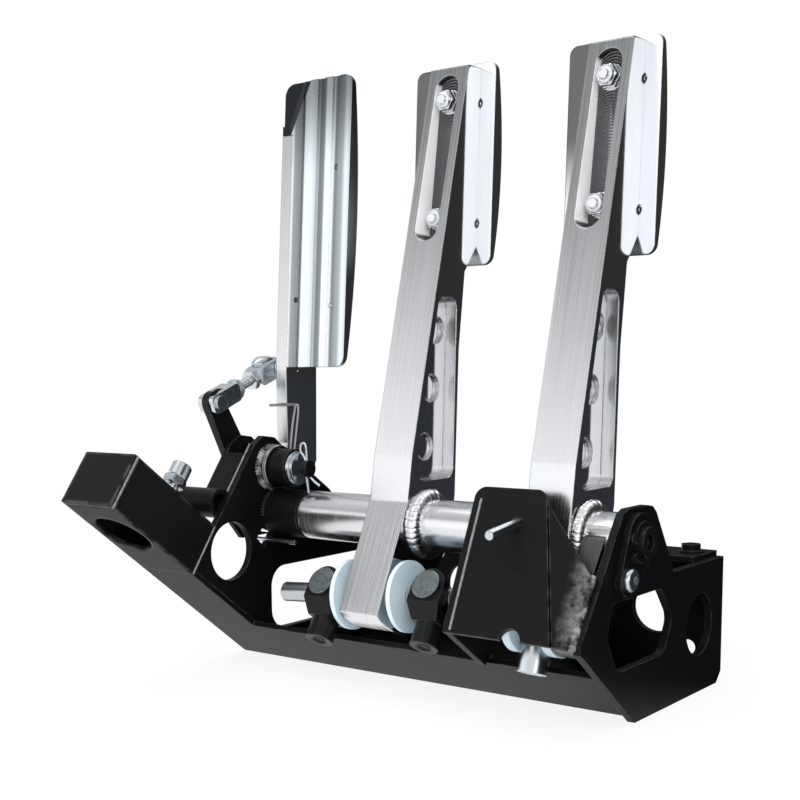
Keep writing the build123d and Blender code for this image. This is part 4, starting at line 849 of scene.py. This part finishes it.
# The balance bar's fine thread right of the bearing, and the ends of the forks' and the clevis's stems.
# The stems are tapped for the push rods and show a machined end face; a near-black disc in the bore is
# painted shade.
bar_lean = math.radians(4.0)
bar_way = Vector((math.cos(bar_lean), 0, math.sin(bar_lean)))
bar_eye = Vector((brake_x, -0.087, 0.055))
bar_thread_radius, bar_thread_pitch = 0.00545, 0.00127
for thread_name, thread_start, thread_length in (("middle", 0.0203, 0.0110), ("end", 0.0470, 0.0085)):
    thread_run(
        "bar_thread_" + thread_name, bar_eye + bar_way * thread_start, bar_way, bar_thread_radius,
        thread_length, bar_thread_pitch, ground, "balance_bar",
    )
# A near-black finish for the discs inside the stem ends: painted shade in the bores.
dark = plain_finish("painted_bore_shade", (0.01, 0.01, 0.011), 0.6)
bore_radius, bore_pitch, stem_length = 0.0040, 0.00125, 0.029


def stem_end(name, eye, way, radius, body, finish):
    tip = eye + way * stem_length
    turned_piece(
        name + "_face", tip, way,
        [
            (-0.0012, radius), (-0.0002, radius), (0.0002, radius - 0.0004), (0.0002, 0.0052),
            (-0.0008, 0.0043),
        ],
        finish, body,
    )
    turned_piece(name + "_bore", tip, way, [(-0.0012, bore_radius), (-0.0007, bore_radius)], dark, body)
    bore_foot = eye + way * (stem_length - 0.0012)
    thread_run(name + "_bore_thread", bore_foot, way, bore_radius, 0.0012, bore_pitch, finish, body)


stem_way = Vector((0.8 * bar_way.z, -0.6, -0.8 * bar_way.x))
stem_end("left_stem", bar_eye - bar_way * 0.031, stem_way, 0.0075, "clevis_left", oxide)
stem_end("right_stem", bar_eye + bar_way * 0.0386, stem_way, 0.0075, "clevis_right", oxide)
clutch_lean = math.radians(20.0)
clutch_stem_way = Vector((0, -math.sin(clutch_lean), -math.cos(clutch_lean)))
stem_end("clutch_stem", Vector((0.0794, -0.087, 0.055)), clutch_stem_way, 0.0074, "clutch_clevis", zinc)


# The throttle linkage: a short threaded rod with a zinc fork and a lock nut at each end.
# A sprung wire clip holds the upper fork's pin on the accelerator arm.
link_low = Vector((-0.141, -0.088, 0.158))
link_high = Vector((-0.141, -0.034, 0.178))
link_way = (link_low - link_high).normalized()
link_span = (link_low - link_high).length
for spot, start in (("upper", 0.019), ("lower", link_span - 0.023)):
    nut = turned_piece(
        f"link_{spot}_nut", link_high + link_way * start, link_way, hex_profile(0, 0.004, 0.0066, 0.0005),
        zinc, "throttle_link", flats=0.0056,
    )
    if spot == "upper":
        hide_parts("link_nuts")
thread_run(
    "link_thread", link_high + link_way * 0.0225, link_way, radius=0.0028, length=link_span - 0.045,
    pitch=0.0008, material=ground, body="throttle_link",
)


def wire(name, points, radius, material, body):
    curve = bpy.data.curves.new(name, "CURVE")
    curve.dimensions = "3D"
    curve.bevel_depth = radius
    curve.bevel_resolution = 4
    curve.use_fill_caps = True
    spline = curve.splines.new("NURBS")
    spline.points.add(len(points) - 1)
    for point, spot in zip(spline.points, points):
        point.co = (*spot, 1)
    spline.order_u = 3
    spline.use_endpoint_u = True
    spline.resolution_u = 6
    shaped = placed(name, curve)
    mesh = hardened(shaped)
    bpy.data.objects.remove(shaped)
    mesh.materials.clear()
    mesh.materials.append(material)
    made = placed(name, mesh)
    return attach(made, body)


fork_up = Vector((0, link_way.z, -link_way.y))


def on_link(side, along, up):
    return link_high + Vector((side, 0, 0)) / 1000 + link_way * along / 1000 + fork_up * up / 1000


wire(
    "fork_clip",
    [
        on_link(8.5, 0, 0), on_link(8.8, 2, 6.0), on_link(6, 4, 8.3), on_link(0, 5, 8.8),
        on_link(-6, 6, 8.3), on_link(-7.6, 9, 6), on_link(-6, 12, 6.6), on_link(0, 13, 7.2),
        on_link(5, 13, 6.8),
    ],
    0.0007, zinc, "throttle_link",
)


# The throttle lever's return spring and split pin, bent from plain drawn wire.
# The spring's two coils sit on the boss and its doubled leg hooks over the front of the accelerator arm.
spring_steel = plain_finish("spring_wire", (0.30, 0.29, 0.28), 0.3, metallic=1.0)
coil_y, coil_z, coil_radius = -66.0, 119.5, 12.4
coil_steps, coil_turns, coil_foot, coil_width = 48, 2, -111.8, 2.5
leg_y = -46.6
spring_path = []
for i in range(coil_steps + 1):
    turn = 2 * math.pi * coil_turns * i / coil_steps
    coil_reach = (coil_radius * math.cos(turn), coil_radius * math.sin(turn))
    spring_path.append(
        frame_point(coil_foot + coil_width * i / coil_steps, coil_y + coil_reach[0], coil_z - coil_reach[1])
    )
for x, y, z in (
    (-109.5, -49.2, 140.0), (-109.5, leg_y, 153.5), (-110.5, leg_y, 155.6), (-120.0, leg_y, 155.6),
    (-132.5, leg_y, 154.9),
):
    spring_path.append(frame_point(x, y, z))
spring = wire("spring_coils", spring_path, 0.0009, spring_steel, "throttle_lever")
wire(
    "spring_second_leg",
    [
        frame_point(-111.8, -53.6, 119.5), frame_point(-112.5, -50.0, 140.0),
        frame_point(-112.5, leg_y, 153.0), frame_point(-111.8, leg_y, 155.2),
    ],
    0.0009, spring_steel, "throttle_lever",
)
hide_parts("return_spring")
split_x = -89.0
split_bends = (
    (4.5, -3.0, -13.5), (1.0, 0.0, -6.0), (0.0, 0.0, 0.0), (0.0, 0.0, 6.5), (-3.4, -1.0, 10.0),
    (-2.2, -1.0, 15.0), (1.2, -1.0, 14.5), (1.2, 0.0, 6.5), (0.8, 0.0, 0.0), (3.5, 2.0, -7.5),
    (8.0, 3.0, -10.0),
)
split_path = [frame_point(split_x + x, coil_y + y, coil_z + z) for x, y, z in split_bends]
split = wire("split_pin_wire", split_path, 0.0008, zinc, "throttle_lever")
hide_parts("split_pin")


# Studio: a pale floor that runs to white, a sky that is bright low in front and dark behind, and four
# lamps: a broad soft one in front, a key from above, a fill on the right and a rim behind.
# In reflections the floor glows as a painted reflection, white in front and nearly black behind.
away_from_camera = (0.64, 0.77, 0)
pale, pale_tree, pale_face = new_material("pale_floor")
dressed(pale_tree, pale_face, {"Base Color": (0.93, 0.93, 0.93), "Roughness": 0.7})
pale_place = on_piece(pale_tree)
pale_reach = fitted(pale_tree, "ShaderNodeVectorMath", {0: pale_place}, operation="LENGTH").outputs["Value"]
pale_fade = faded(pale_tree, pale_reach, 0.12, 0.45, 0.86, 1.0, "SMOOTHSTEP")
pale_rays = pale_tree.nodes.new("ShaderNodeLightPath").outputs
pale_share = reckoned(pale_tree, "MULTIPLY", pale_rays["Is Camera Ray"], pale_fade)
# Seen in reflections the floor glows: a painted reflection, white towards the camera and nearly black away
# from it.
pale_away = measured_along(pale_tree, pale_place, away_from_camera)
pale_dark = faded(pale_tree, pale_away, -0.03, 0.12, ease="SMOOTHSTEP")
pale_painted_reflection = toned(pale_tree, pale_dark, (1.0, 1.0, 1.0), (0.03, 0.034, 0.040))
pale_seen = fitted(pale_tree, "ShaderNodeEmission", {"Color": pale_painted_reflection, "Strength": 1.08})
pale_bright_terms = {
    "Fac": pale_rays["Is Glossy Ray"], 1: pale_face.outputs["BSDF"], 2: pale_seen.outputs["Emission"],
}
pale_bright = fitted(pale_tree, "ShaderNodeMixShader", pale_bright_terms)
pale_white = fitted(pale_tree, "ShaderNodeEmission", {"Color": (1, 1, 1)})
pale_mix_terms = {"Fac": pale_share, 1: pale_bright.outputs["Shader"], 2: pale_white.outputs["Emission"]}
pale_mix = fitted(pale_tree, "ShaderNodeMixShader", pale_mix_terms)
dressed(pale_tree, pale_tree.nodes["Material Output"], {"Surface": pale_mix.outputs["Shader"]})
floor_size = 8.0
floor_corners = [(floor_size * x, floor_size * y, 0) for x, y in ((-1, -1), (1, -1), (1, 1), (-1, 1))]
floor = skin("studio_floor", floor_corners, [(0, 1, 2, 3)], pale, smooth=False)

world = bpy.data.worlds.new("studio")
world.use_nodes = True
bpy.context.scene.world = world
world_tree = world.node_tree
sky_place = world_tree.nodes.new("ShaderNodeTexCoord").outputs["Generated"]
sky_height = axes_of(world_tree, sky_place)["Z"]


def sky_band(stops):
    band = fitted(world_tree, "ShaderNodeValToRGB", {"Fac": sky_height})
    first, last = band.color_ramp.elements
    first.color = (stops[0][1],) * 3 + (1,)
    last.color = (stops[-1][1],) * 3 + (1,)
    for height, grey in stops[1:-1]:
        band.color_ramp.elements.new(height).color = (grey * 0.98, grey * 0.99, grey, 1)
    return band.outputs["Color"]


sky_front = sky_band(
    [
        (0.0, 1.35), (0.12, 1.35), (0.27, 1.3), (0.41, 1.15), (0.47, 0.60), (0.53, 0.36), (0.60, 0.62),
        (0.68, 0.62), (0.80, 0.70), (1.0, 0.9),
    ]
)
sky_rear = sky_band([(0.0, 0.03), (0.5, 0.04), (0.75, 0.85), (1.0, 1.0)])
sky_away = measured_along(world_tree, sky_place, away_from_camera)
sky_turn = faded(world_tree, sky_away, -0.05, 0.35, ease="SMOOTHSTEP")
sky_terms = {"Color": toned(world_tree, sky_turn, sky_front, sky_rear), "Strength": 1.0}
sky = dressed(world_tree, world_tree.nodes["Background"], sky_terms)
backdrop = fitted(world_tree, "ShaderNodeBackground", {"Color": (1, 1, 1)})
world_rays = world_tree.nodes.new("ShaderNodeLightPath").outputs
world_mix_terms = {
    "Fac": world_rays["Is Camera Ray"], 1: sky.outputs["Background"], 2: backdrop.outputs["Background"],
}
world_mix = fitted(world_tree, "ShaderNodeMixShader", world_mix_terms)
dressed(world_tree, world_tree.nodes["World Output"], {"Surface": world_mix.outputs["Shader"]})

middle = (cad_low + cad_high) / 2


def lamp(name, place, size, power):
    data = bpy.data.lights.new(name, "AREA")
    data.shape = "RECTANGLE"
    data.size, data.size_y = size
    data.energy = power
    made = placed(name, data)
    made.location = middle + Vector(place)
    made.rotation_euler = (middle - made.location).to_track_quat("-Z", "Y").to_euler()
    return made


lamp("soft", (0.5, -1.3, 0.9), (1.4, 1.0), 22).visible_glossy = False
lamp("key", (-0.45, -0.5, 1.8), (1.0, 0.8), 7)
lamp("fill", (1.5, -0.9, 0.7), (0.7, 1.2), 4)
lamp("rim", (0.2, 1.2, 1.6), (1.2, 0.6), 6)


# Camera: it stands a little above the floor off the right front corner, and leans by less than a degree.
# Its place, angles and lens were fitted to the object's corners and hole centres.
camera_data = bpy.data.cameras.new("camera")
camera_data.sensor_width = 36.0
camera_data.lens = 59.6
camera_data.shift_x = 0.114
camera_data.shift_y = 0.1615
camera = placed("camera", camera_data)
camera_turn = math.radians(39.5)
camera_dip = math.radians(7.5)
camera_roll = math.radians(0.8)
level = Vector((math.cos(camera_turn), math.sin(camera_turn), 0))
ahead = Vector((-math.sin(camera_turn), math.cos(camera_turn), 0)) * math.cos(camera_dip)
ahead.z = -math.sin(camera_dip)
down = ahead.cross(level)
side = level * math.cos(camera_roll) + down * math.sin(camera_roll)
over = level * math.sin(camera_roll) - down * math.cos(camera_roll)
camera_place = Matrix((side, over, -ahead)).transposed().to_4x4()
camera_place.translation = Vector((0.4014, -0.6588, 0.1852))
camera.matrix_world = camera_place
bpy.context.scene.camera = camera
bpy.context.scene.view_settings.view_transform = "Standard"
